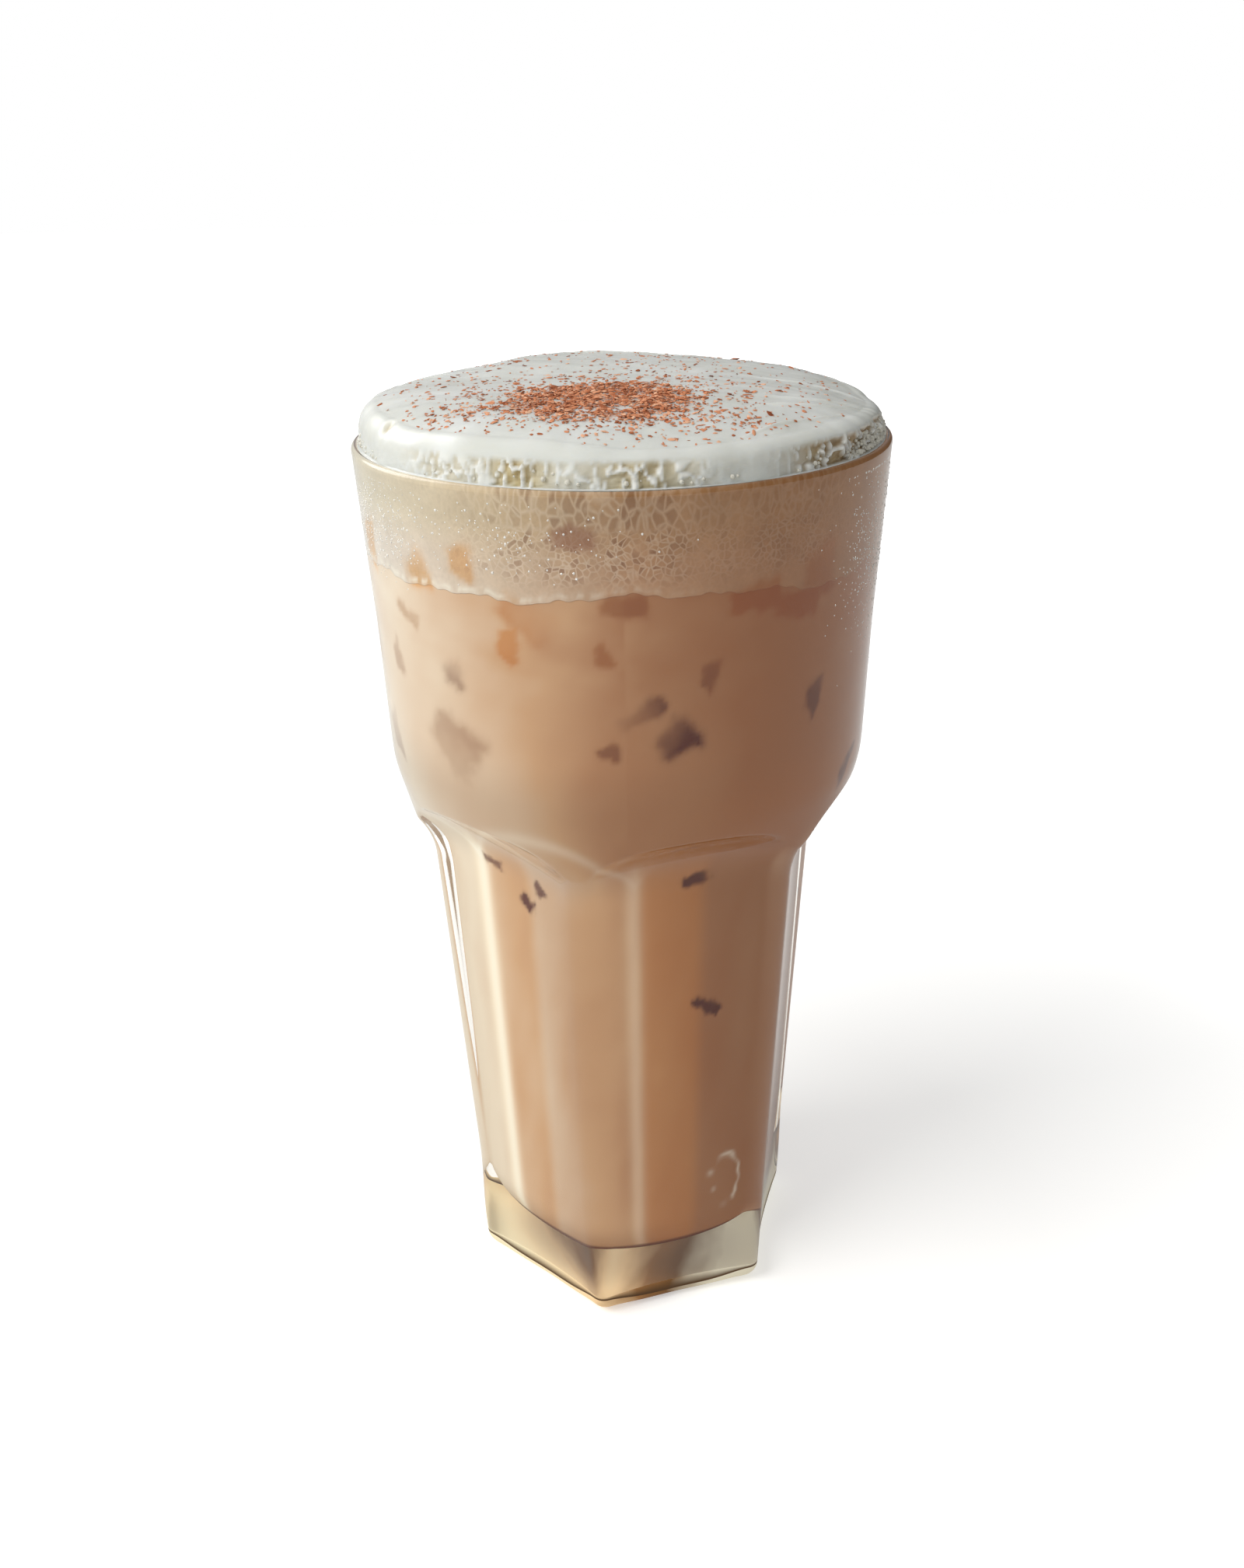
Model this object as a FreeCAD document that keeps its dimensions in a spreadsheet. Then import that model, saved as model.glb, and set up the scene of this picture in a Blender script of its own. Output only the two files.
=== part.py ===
"""Iced black tea macchiato in a pressed glass tumbler, in millimetres, +Z up, origin under the foot's middle.

The tumbler has a round bowl over a six-sided foot. The foot is a round blank with hollow panels cut into it,
and each panel sweeps out through the shoulder, so that it ends in an arch between two ribs.
The drink fills the round cavity in three layers: milk tea, milk froth and a cap of whipped cream.
"""
import FreeCAD, Part
import math
import os
import PartDesign
import Sketcher
from FreeCAD import Rotation, Vector

SIZES = {
    # tumbler, outside
    "glass_height": 160.0,
    "rim_radius": 44.5,
    "waist_height": 130.0,
    "waist_radius": 42.5,
    "shoulder_height": 106.0,
    "shoulder_radius": 41.5,
    "shoulder_round": 25.0,
    "neck_height": 88.0,
    "neck_radius": 36.7,
    "neck_round": 20.0,
    "foot_radius": 31.9,
    "heel_round": 2.4,
    "lip_round": 1.1,
    # hollow panels of the foot
    "panel_count": 6.0,
    "panel_turn": -13.0,
    "panel_foot": 25.5,
    "panel_neck": 30.0,
    "panel_hollow": 100.0,
    "scoop_radius": 17.4,
    "scoop_angle": 70.0,
    # underside
    "recess_radius": 20.5,
    "recess_depth": 1.2,
    "recess_slope": 1.0,
    # cavity
    "bowl_wall": 2.4,
    "panel_wall": 2.1,
    "floor_height": 10.5,
    "floor_round": 8.0,
    "cavity_neck_rise": 4.0,
    "cavity_neck_round": 14.0,
    "cavity_shoulder_rise": 6.0,
    "cavity_shoulder_round": 20.0,
    # layers of the drink
    "tea_below_rim": 16.5,
    "froth_below_rim": 2.0,
    "crown_above_rim": 11.0,
    "cap_overhang": 0.8,
    "cap_lift": 0.3,
    "cap_edge_rise": 1.0,
    "cap_round": 0.6,
    "cap_wave": 0.7,
}

MARGIN = 2.0
CUT_REACH = 5.0
PANEL_SWEEP = 50.0
GRID_STEP = 3.0
DOME_SPREAD = 1.5
DOME_EDGE_SLOPE = 1.0
DOME_FLATNESS = 3.2
DOME_ROUNDNESS = 0.48
DOME_LEAN = 0.03
TINY = 1e-4

doc = FreeCAD.newDocument("black_tea_macchiato")
sheet = doc.addObject("Spreadsheet::Sheet", "sizes")
for row, (alias, value) in enumerate(SIZES.items(), start=1):
    sheet.set(f"A{row}", alias)
    sheet.set(f"B{row}", str(value))
    sheet.setAlias(f"B{row}", alias)
doc.recompute()


def bound(words):
    """Turns size names in an expression into references to the sheet."""
    return " ".join(f"sizes.{word}" if word in SIZES else word for word in words.split())


def new_body(name):
    body = doc.addObject("PartDesign::Body", name)
    body.Label = name
    return body


def origin_feature(body, role):
    return next(item for item in body.Origin.OriginFeatures if item.Role == role)


def radial_sketch(body, name):
    """A sketch in the body's XZ plane: its x is the distance from the axis and its y is the height."""
    sketch = body.newObject("Sketcher::SketchObject", name)
    sketch.AttachmentSupport = (origin_feature(body, "XZ_Plane"), [""])
    sketch.MapMode = "FlatFace"
    return sketch


def pin(sketch, edge, end, distance, height):
    """Holds one end of an edge at a distance from the axis and a height, each an expression of size names."""
    for kind, words, axis in (("DistanceX", distance, -2), ("DistanceY", height, -1)):
        if words == "0":
            sketch.addConstraint(Sketcher.Constraint("PointOnObject", edge, end, axis))
            continue
        value = sketch.evalExpression(bound(words))
        number = sketch.addConstraint(Sketcher.Constraint(kind, -1, 1, edge, end, float(value)))
        sketch.setExpression(f"Constraints[{number}]", bound(words))


def closed_profile(body, name, corners):
    """A closed outline of straight edges through corners, each a pair of expressions."""
    sketch = radial_sketch(body, name)
    places = [Vector(*(float(sketch.evalExpression(bound(words))) for words in corner)) for corner in corners]
    for place, following in zip(places, places[1:] + places[:1]):
        sketch.addGeometry(Part.LineSegment(place, following), False)
    for edge, corner in enumerate(corners):
        sketch.addConstraint(Sketcher.Constraint("Coincident", edge, 2, (edge + 1) % len(corners), 1))
        pin(sketch, edge, 1, *corner)
    return sketch


def turn(body, kind, name, sketch):
    """Revolves a profile about the body's own axis, adding or removing it."""
    feature = body.newObject(f"PartDesign::{kind}", name)
    feature.Profile = sketch
    feature.ReferenceAxis = (origin_feature(body, "Z_Axis"), [""])
    feature.Angle = 360.0
    sketch.Visibility = False
    doc.recompute()
    return feature


def ring_edges(shape, radius, height):
    """Names of the shape's circular edges about the Z axis with this radius and height."""
    names = []
    for number, edge in enumerate(shape.Edges, start=1):
        if isinstance(edge.Curve, Part.Circle):
            if max(abs(edge.Curve.Radius - radius), abs(edge.Curve.Center.z - height)) < TINY:
                names.append(f"Edge{number}")
    return names


def round_edges(body, name, edges, size):
    finished = body.Tip
    fillet = body.newObject("PartDesign::Fillet", name)
    fillet.Base = (finished, edges)
    fillet.setExpression("Radius", bound(size))
    doc.recompute()
    return fillet


def round_ring(body, name, radius, height, size):
    """Rounds the corner that a turned profile leaves at a radius and a height."""
    distance = float(sheet.evalExpression(bound(radius)))
    level = float(sheet.evalExpression(bound(height)))
    return round_edges(body, name, ring_edges(body.Shape, distance, level), size)


# Levels and radii of the cavity, which follow the outside at the named walls
CAVITY_FLOOR_RADIUS = "panel_foot + ( panel_neck - panel_foot ) * floor_height / neck_height - panel_wall"
CAVITY_NECK = ("panel_neck - panel_wall", "neck_height + cavity_neck_rise")
CAVITY_SHOULDER = ("shoulder_radius - bowl_wall", "shoulder_height + cavity_shoulder_rise")
CAVITY_RIM_RADIUS = "rim_radius - bowl_wall"
TEA_LEVEL = "glass_height - tea_below_rim"
FROTH_LEVEL = "glass_height - froth_below_rim"
CROWN_HEIGHT = "glass_height + crown_above_rim"


def make_blank():
    """The pressed blank: round outside, hollow panels, rounded heel and a shallow recess under the foot."""
    body = new_body("glass_blank")
    outline = closed_profile(body, "blank_outline", [
        ("0", "0"),
        ("foot_radius", "0"),
        ("neck_radius", "neck_height"),
        ("shoulder_radius", "shoulder_height"),
        ("waist_radius", "waist_height"),
        ("rim_radius", "glass_height"),
        ("0", "glass_height"),
    ])
    turn(body, "Revolution", "blank_turn", outline)
    round_ring(body, "shoulder_rounding", "shoulder_radius", "shoulder_height", "shoulder_round")
    round_ring(body, "neck_rounding", "neck_radius", "neck_height", "neck_round")
    cut_panels(body)
    heel = [f"Edge{number}" for number, edge in enumerate(body.Shape.Edges, start=1)
            if all(abs(vertex.Z) < TINY for vertex in edge.Vertexes)]
    round_edges(body, "heel_rounding", heel, "heel_round")
    recess = closed_profile(body, "recess_outline", [
        ("0", "0"),
        ("recess_radius", "0"),
        ("recess_radius - recess_slope", "recess_depth"),
        ("0", "recess_depth"),
    ])
    turn(body, "Groove", "recess_cut", recess)
    body.Placement.Rotation = Rotation(Vector(0, 0, 1), 1.0)
    body.setExpression("Placement.Rotation.Angle", bound("panel_turn"))
    doc.recompute()
    return body


def cut_panels(body):
    """One hollow panel, swept about an upright axis far outside the foot, and its copies round the glass.

    Its outline runs straight up the panel, then along a tangent arc and line out through the shoulder.
    """
    sketch = radial_sketch(body, "panel_outline")
    size = sheet.get
    lean = math.atan2(size("panel_neck") - size("panel_foot"), size("neck_height"))
    rise = Vector(math.sin(lean), math.cos(lean), 0)
    outward = Vector(math.cos(lean), -math.sin(lean), 0)
    neck = Vector(size("panel_neck"), size("neck_height"), 0)
    foot = neck - rise * ((size("neck_height") + MARGIN) / rise.y)
    scoop = size("scoop_radius")
    centre = neck + outward * scoop
    finish = math.radians(180 - size("scoop_angle")) - lean
    start = math.pi - lean
    arc = Part.Arc(Part.Circle(centre, Vector(0, 0, 1), scoop), finish, start)
    top = centre + Vector(math.cos(finish), math.sin(finish), 0) * scoop
    away = Vector(math.sin(finish), -math.cos(finish), 0)
    reach = size("rim_radius") + CUT_REACH
    tip = top + away * ((reach - top.x) / away.x)
    sketch.addGeometry(Part.LineSegment(foot, neck), False)
    sketch.addGeometry(arc, False)
    sketch.addGeometry(Part.LineSegment(top, tip), False)
    sketch.addGeometry(Part.LineSegment(tip, Vector(reach, -MARGIN, 0)), False)
    sketch.addGeometry(Part.LineSegment(Vector(reach, -MARGIN, 0), foot), False)
    axis_distance = size("panel_foot") + size("panel_hollow")
    sketch.addGeometry(Part.LineSegment(Vector(axis_distance, 0, 0), Vector(axis_distance, reach, 0)), True)

    slope = "( panel_neck - panel_foot ) / neck_height"
    pin(sketch, 0, 1, f"panel_foot - {MARGIN} * {slope}", f"{-MARGIN}")
    pin(sketch, 0, 2, "panel_neck", "neck_height")
    sketch.addConstraint(Sketcher.Constraint("Tangent", 0, 2, 1, 2))
    sketch.addConstraint(Sketcher.Constraint("Tangent", 1, 1, 2, 1))
    radius = sketch.addConstraint(Sketcher.Constraint("Radius", 1, scoop))
    sketch.setExpression(f"Constraints[{radius}]", bound("scoop_radius"))
    angle = sketch.addConstraint(Sketcher.Constraint("Angle", 0, 1, 2, 1, -math.radians(size("scoop_angle"))))
    sketch.setExpression(f"Constraints[{angle}]", bound("-1 * scoop_angle"))
    sketch.addConstraint(Sketcher.Constraint("Coincident", 2, 2, 3, 1))
    sketch.addConstraint(Sketcher.Constraint("Coincident", 3, 2, 4, 1))
    sketch.addConstraint(Sketcher.Constraint("Coincident", 4, 2, 0, 1))
    sketch.addConstraint(Sketcher.Constraint("Vertical", 3))
    sketch.addConstraint(Sketcher.Constraint("Horizontal", 4))
    edge = sketch.addConstraint(Sketcher.Constraint("DistanceX", -1, 1, 3, 1, reach))
    sketch.setExpression(f"Constraints[{edge}]", bound(f"rim_radius + {CUT_REACH}"))
    sketch.addConstraint(Sketcher.Constraint("Vertical", 5))
    pin(sketch, 5, 1, "panel_foot + panel_hollow", "0")
    sketch.addConstraint(Sketcher.Constraint("DistanceY", 5, 1, 5, 2, reach))

    groove = body.newObject("PartDesign::Groove", "panel_cut")
    groove.Profile = sketch
    groove.ReferenceAxis = (sketch, ["Axis0"])
    groove.Midplane = True
    groove.Angle = PANEL_SWEEP
    sketch.Visibility = False
    doc.recompute()
    pattern = body.newObject("PartDesign::PolarPattern", "panel_pattern")
    pattern.Originals = [groove]
    pattern.Axis = (origin_feature(body, "Z_Axis"), [""])
    pattern.Angle = 360.0
    pattern.setExpression("Occurrences", bound("panel_count"))
    body.Tip = pattern
    doc.recompute()


def make_cavity():
    """The space inside the tumbler, carried straight up past the rim, which the cut and the layers share."""
    body = new_body("cavity")
    outline = closed_profile(body, "cavity_outline", [
        ("0", "floor_height"),
        (CAVITY_FLOOR_RADIUS, "floor_height"),
        CAVITY_NECK,
        CAVITY_SHOULDER,
        ("waist_radius - bowl_wall", "waist_height"),
        (CAVITY_RIM_RADIUS, "glass_height"),
        (CAVITY_RIM_RADIUS, CROWN_HEIGHT),
        ("0", CROWN_HEIGHT),
    ])
    turn(body, "Revolution", "cavity_turn", outline)
    round_ring(body, "floor_rounding", CAVITY_FLOOR_RADIUS, "floor_height", "floor_round")
    round_ring(body, "cavity_neck_rounding", *CAVITY_NECK, "cavity_neck_round")
    round_ring(body, "cavity_shoulder_rounding", *CAVITY_SHOULDER, "cavity_shoulder_round")
    return body


def make_tumbler(blank, cavity):
    """The blank less its cavity, with both edges of the rim rounded into a lip."""
    cut = doc.addObject("Part::Cut", "tumbler_cut")
    cut.Base = blank
    cut.Tool = cavity
    doc.recompute()
    tumbler = doc.addObject("Part::Fillet", "glass_tumbler")
    tumbler.Label = "glass_tumbler"
    tumbler.Base = cut
    height = sheet.get("glass_height")
    radii = (sheet.get("rim_radius"), sheet.get("rim_radius") - sheet.get("bowl_wall"))
    names = [name for radius in radii for name in ring_edges(cut.Shape, radius, height)]
    lip = sheet.get("lip_round")
    tumbler.Edges = [(int(name.removeprefix("Edge")), lip, lip) for name in names]
    return tumbler


def make_layer(name, cavity, bottom, top):
    """The part of the cavity between two levels."""
    slab = doc.addObject("Part::Cylinder", f"{name}_slab")
    slab.setExpression("Radius", bound("rim_radius"))
    slab.setExpression("Placement.Base.z", bound(bottom))
    slab.setExpression("Height", bound(f"{top} - ( {bottom} )"))
    layer = doc.addObject("Part::Common", name)
    layer.Label = name
    layer.Base = cavity
    layer.Tool = slab
    return layer


def crown(x, y):
    """Height of the whipped cream over a point: a full dome, fuller to -X, with slow folds across it.

    Past the cream's own edge it runs on down at a steady slope, so that the surface has no kink there.
    """
    size = sheet.get
    edge_radius = size("rim_radius") - size("bowl_wall") + size("cap_overhang")
    distance = math.hypot(x, y)
    beyond = max(distance - edge_radius, 0.0)
    share = (distance - beyond) / (edge_radius + DOME_SPREAD)
    dome = (1.0 - share ** DOME_FLATNESS) ** DOME_ROUNDNESS
    lean = (1.0 - DOME_LEAN * x / edge_radius) / (1.0 + DOME_LEAN)
    folds = math.sin(x / 9.0 + 0.6 * math.sin(y / 8.0)) * math.cos(y / 11.0 + 0.4) * share
    edge = size("glass_height") + size("cap_edge_rise")
    height = size("crown_above_rim") - size("cap_edge_rise") - size("cap_wave") * 0.5
    return edge + (height * lean + size("cap_wave") * folds) * dome - beyond * DOME_EDGE_SLOPE


def make_cap(cavity):
    """The cream: it fills the cavity above the froth and swells over the lip, under crown()'s surface."""
    size = sheet.get
    froth = size("glass_height") - size("froth_below_rim")
    roof = size("glass_height") + size("crown_above_rim")
    swell_radius = size("rim_radius") - size("bowl_wall") + size("cap_overhang")
    swell_foot = size("glass_height") + size("cap_lift")
    inside = cavity.Shape.common(Part.makeCylinder(size("rim_radius"), roof - froth, Vector(0, 0, froth)))
    swell = Part.makeCylinder(swell_radius, roof - swell_foot, Vector(0, 0, swell_foot))
    lower_edge = [int(name.removeprefix("Edge")) - 1 for name in ring_edges(swell, swell_radius, swell_foot)]
    swell = swell.makeFillet(size("cap_round"), [swell.Edges[number] for number in lower_edge])

    steps = math.ceil((swell_radius + MARGIN) / GRID_STEP)
    places = [GRID_STEP * step for step in range(-steps, steps + 1)]
    surface = Part.BSplineSurface()
    surface.interpolate([[Vector(x, y, crown(x, y)) for y in places] for x in places])
    heap = surface.toShape().extrude(Vector(0, 0, froth - roof - MARGIN))
    cap = doc.addObject("Part::Feature", "cream_cap")
    cap.Label = "cream_cap"
    cap.Shape = inside.fuse(swell).common(heap).Solids[0]
    return cap


blank = make_blank()
cavity = make_cavity()
parts = [
    make_tumbler(blank, cavity),
    make_layer("milk_tea", cavity, "floor_height", TEA_LEVEL),
    make_layer("milk_froth", cavity, TEA_LEVEL, FROTH_LEVEL),
    make_cap(cavity),
]
doc.recompute()

for item in doc.Objects:
    if "Invalid" in item.State or "Error" in item.State:
        raise RuntimeError(f"{item.Label} did not build: {item.State}")
os.makedirs("parts", exist_ok=True)
for part in parts:
    shape = part.Shape
    if shape.isNull() or not shape.isValid() or len(shape.Solids) != 1:
        raise RuntimeError(f"{part.Label} is not one valid solid")
    shape.exportStep(f"parts/{part.Label}.step")
    print(f"{part.Label}: {shape.Volume / 1000:.1f} ml")
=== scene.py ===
import math

import bpy
import numpy as np
from mathutils import Matrix


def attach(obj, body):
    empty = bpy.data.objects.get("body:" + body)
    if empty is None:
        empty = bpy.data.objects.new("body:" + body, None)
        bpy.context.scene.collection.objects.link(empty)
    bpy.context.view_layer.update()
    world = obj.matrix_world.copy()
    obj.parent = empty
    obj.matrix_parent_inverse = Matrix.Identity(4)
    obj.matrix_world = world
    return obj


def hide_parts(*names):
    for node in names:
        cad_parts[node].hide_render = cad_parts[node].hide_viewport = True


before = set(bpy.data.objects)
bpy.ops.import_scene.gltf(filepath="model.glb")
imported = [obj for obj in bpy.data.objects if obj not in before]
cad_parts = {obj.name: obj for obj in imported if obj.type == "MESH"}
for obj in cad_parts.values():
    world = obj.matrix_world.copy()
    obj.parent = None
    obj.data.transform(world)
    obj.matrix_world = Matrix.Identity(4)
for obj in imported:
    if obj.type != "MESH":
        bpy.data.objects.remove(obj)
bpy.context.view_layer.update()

# Looks for the iced black tea macchiato: pressed glass tumbler, milk tea with ice, milk froth,
# whipped cream cap and cocoa. All lengths are millimetres until a mesh is made; MM turns them into metres.
# An azimuth is measured round the tumbler's axis, from -Y towards +X, in degrees.

MM = 0.001

# Tumbler outside: tapers from foot to neck, shoulder, waist and rim, with the widths of their soft corners
RIM_HEIGHT, RIM_RADIUS = 160.0, 44.46
WAIST_HEIGHT, WAIST_RADIUS = 130.0, 42.5
SHOULDER_HEIGHT, SHOULDER_RADIUS, SHOULDER_BLEND = 106.0, 41.5, 0.56
NECK_HEIGHT, NECK_RADIUS, NECK_BLEND = 88.0, 36.7, 0.45
FOOT_RADIUS = 31.9
HEEL_ROUND, HEEL_CORNER, HEEL_SQUASH = 2.4, 1.8, 0.9
SEAM = (0.06, 0.3)
LIP_ROUND, LIP_INSET = 0.75, 0.06
RECESS_RADIUS, RECESS_DEPTH = 20.7, 0.3
# Hollow panels of the foot, the scoops they end in at the shoulder, and the ribs between them
PANEL_COUNT, PANEL_MIDDLE = 6, 17.0
PANEL_STEP = 360.0 / PANEL_COUNT
PANEL_FOOT, PANEL_NECK, PANEL_HOLLOW, PANEL_EDGE = 25.9, 30.4, 100.0, 0.22
SCOOP_RADIUS, SCOOP_START, SCOOP_TOP, SCOOP_SLOPE = 17.4, 87.1, 103.7, 3.26
RIB_ROUND_FOOT, RIB_ROUND = 2.6, 6.0
ARCH_CROWN, ARCH_DROP = 103.3, 10.4
# Cavity
FLOOR_HEIGHT, FLOOR_RADIUS, FLOOR_ROUND = 10.5, 23.94, 8.0
CAVITY_NECK_HEIGHT, CAVITY_NECK_RADIUS, CAVITY_NECK_BLEND = 92.0, 27.9, 1.7
CAVITY_SHOULDER_HEIGHT, CAVITY_SHOULDER_RADIUS, CAVITY_SHOULDER_BLEND = 112.0, 39.1, 2.3
CAVITY_WAIST_RADIUS, CAVITY_RIM_RADIUS = 40.1, 42.1
MOUTH_START, MOUTH_END, MOUTH_WIDER = 153.0, 159.5, 0.8
# Layers: each reaches just into the wall, so that no film of air shows between drink and glass
REACH, OVER_TEA = 0.4, 0.06
TEA_TOP = 147.0
FROTH_UNDER, FROTH_TOP = 146.0, RIM_HEIGHT - 0.55
CREAM_RADIUS, CREAM_UNDER, CREAM_EDGE, CREAM_TOP = 42.7, 159.2, 161.0, 169.7
CREAM_REST, CREAM_REST_HEIGHT, CREAM_BROW = 43.0, RIM_HEIGHT + 0.08, 161.9
# Drops and bubbles: furthest that they may stand from the axis, and where the bubbles sit at the lip
DROP_LIMIT, BUBBLE_LIMIT, BUBBLE_RADIUS = 44.3, 44.2, 43.15
# Places round each piece
TUMBLER_COLUMNS, TEA_COLUMNS, FROTH_COLUMNS, CREAM_COLUMNS = 390, 450, 540, 600


# ---------------------------------------------------------------- numbers

def soft_min(first, second, width):
    """The smaller of two lengths, rounded where they cross over a band of the given width."""
    share = np.clip(0.5 + 0.5 * (second - first) / width, 0.0, 1.0)
    return second + (first - second) * share - width * share * (1.0 - share)


def soft_max(first, second, width):
    """The larger of two lengths, rounded where they cross."""
    return -soft_min(-first, -second, width)


def smooth_step(low, high, value):
    """0 below low, 1 above high, and a smooth S between."""
    share = np.clip((value - low) / (high - low), 0.0, 1.0)
    return share * share * (3.0 - 2.0 * share)


def bump(value, middle, half_width):
    """A bell of height 1 round middle that falls to 1/e at half_width."""
    return np.exp(-((value - middle) / half_width) ** 2)


def turned(azimuth, middle):
    """Signed angle in degrees from middle to azimuth, between -180 and 180."""
    return (azimuth - middle + 180.0) % 360.0 - 180.0


def waves(u, v, size, seed, layers=4):
    """Smooth random field between about -1 and 1: a sum of sines with random directions and phases.

    size is the mean wavelength; each further layer is 0.6 times as long and as strong.
    """
    draw = np.random.default_rng(seed)
    total, strength = 0.0, 0.0
    for layer in range(layers):
        for _ in range(3):
            angle, phase = draw.uniform(0.0, 2.0 * np.pi, 2)
            rate = 2.0 * np.pi / (size * 0.6 ** layer) * draw.uniform(0.8, 1.2)
            total = total + 0.6 ** layer * np.sin(rate * (u * np.cos(angle) + v * np.sin(angle)) + phase)
        strength += 1.5 * 0.6 ** layer
    return total / strength


def around(azimuth, radius, height):
    """Points at these azimuths in degrees, distances from the axis and heights."""
    turn = np.radians(azimuth)
    azimuth, radius, height = np.broadcast_arrays(turn, radius, height)
    return np.stack([radius * np.sin(azimuth), -radius * np.cos(azimuth), height], axis=-1)


# ---------------------------------------------------------------- meshes

def add_mesh(name, points, faces, marks=None, smooth=True):
    """A mesh object from points in millimetres and lists of faces; marks are named values on its points."""
    mesh = bpy.data.meshes.new(name)
    corners = np.concatenate([np.ravel(part) for part in faces]).astype(np.int32)
    counts = np.concatenate([np.full(len(part), part.shape[1]) for part in faces])
    mesh.vertices.add(len(points))
    mesh.vertices.foreach_set("co", np.ravel(points * MM).astype(np.float32))
    mesh.loops.add(len(corners))
    mesh.loops.foreach_set("vertex_index", corners)
    mesh.polygons.add(len(counts))
    mesh.polygons.foreach_set("loop_start", (np.cumsum(counts) - counts).astype(np.int32))
    mesh.update(calc_edges=True)
    mesh.polygons.foreach_set("use_smooth", np.full(len(counts), smooth))
    for mark, values in (marks or {}).items():
        layer = mesh.attributes.new(mark, "FLOAT", "POINT")
        layer.data.foreach_set("value", np.ravel(values).astype(np.float32))
    mesh.validate()
    made = bpy.data.objects.new(name, mesh)
    bpy.context.scene.collection.objects.link(made)
    return made


def ring_rows(rows, azimuth):
    """Radii and heights as two grids, from rows that each hold one number or one for every azimuth."""
    return (np.array([np.broadcast_to(value, azimuth.shape) for value in part]) for part in zip(*rows))


def ring_faces(rows, columns):
    """Quads between the rows of a grid whose columns close into rings, outward when rows climb."""
    row = np.arange(rows - 1)[:, None] * columns
    here = np.arange(columns)[None, :]
    following = (here + 1) % columns
    quads = np.stack([row + here, row + following, row + columns + following, row + columns + here], axis=-1)
    return quads.reshape(-1, 4)


def add_rings(name, radius, height, first_pole, last_pole, azimuth, marks=None):
    """A closed surface of rings, each row a ring of its own radii and heights, shut by a point at each end.

    marks hold one value for each place on the grid; a pole takes the mean of its nearest ring.
    """
    rows, columns = radius.shape
    points = around(azimuth[None, :], radius, height).reshape(-1, 3)
    points = np.concatenate([points, [[0.0, 0.0, first_pole], [0.0, 0.0, last_pole]]])
    here = np.arange(columns)
    following = (here + 1) % columns
    last = (rows - 1) * columns
    start = np.stack([np.full(columns, rows * columns), following, here], axis=-1)
    end = np.stack([np.full(columns, rows * columns + 1), last + here, last + following], axis=-1)
    poled = {mark: np.concatenate([np.ravel(values), [values[0].mean(), values[-1].mean()]])
             for mark, values in (marks or {}).items()}
    return add_mesh(name, points, [ring_faces(rows, columns), start, end], poled)


# ---------------------------------------------------------------- materials

def linear(code):
    """Linear colour with alpha from an sRGB hex code such as #c89b77."""
    channels = [int(code[start:start + 2], 16) / 255.0 for start in (1, 3, 5)]
    return [c / 12.92 if c <= 0.04045 else ((c + 0.055) / 1.055) ** 2.4 for c in channels] + [1.0]


def new_material(name):
    """An empty node material and its tree."""
    material = bpy.data.materials.new(name)
    material.use_nodes = True
    material.node_tree.nodes.clear()
    return material, material.node_tree


def add_node(tree, kind, inputs=None, stops=(), **settings):
    """Adds a shader node with its settings; an input takes a value, or a link if it is given a socket.

    stops are a colour ramp's places and hex colours, from low to high.
    """
    made = tree.nodes.new("ShaderNode" + kind)
    for setting, value in settings.items():
        setattr(made, setting, value)
    for name, value in (inputs or {}).items():
        if isinstance(value, bpy.types.NodeSocket):
            tree.links.new(value, made.inputs[name])
        else:
            made.inputs[name].default_value = value
    if stops:
        elements = made.color_ramp.elements
        elements[0].position, elements[0].color = stops[0][0], linear(stops[0][1])
        elements[1].position, elements[1].color = stops[-1][0], linear(stops[-1][1])
        for place, code in stops[1:-1]:
            elements.new(place).color = linear(code)
    return made


def object_mm(tree):
    """Object coordinates in millimetres."""
    place = add_node(tree, "TexCoord").outputs["Object"]
    return add_node(tree, "Mapping", {"Vector": place, "Scale": (1000.0, 1000.0, 1000.0)}).outputs[0]


# Tea and froth meet glass, not air, so they have no gloss of their own
BEHIND_GLASS = {"Roughness": 0.6, "IOR": 1.33, "Specular IOR Level": 0.0}
# Factors that leave a colour as it is
UNCHANGED = (1.0, 1.0, 1.0)


def layered(tree, tone, *layers):
    """A tone under layers, lowest first, each with its share and what it does there.

    A hex colour or a socket covers the tone by that share. Two sets of factors multiply it, by the first
    where the share is 0 and by the second where it is 1.
    """
    for share, *colours in layers:
        over, blend = colours[-1], "MIX"
        if len(colours) == 2:
            over = add_node(tree, "Mix", {0: share, 6: (*colours[0], 1.0), 7: (*over, 1.0)},
                            data_type="RGBA").outputs[2]
            share, blend = 1.0, "MULTIPLY"
        elif isinstance(over, str):
            over = linear(over)
        tone = add_node(tree, "Mix", {0: share, 6: tone, 7: over}, data_type="RGBA",
                        blend_type=blend).outputs[2]
    return tone


# ---------------------------------------------------------------- tumbler

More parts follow.
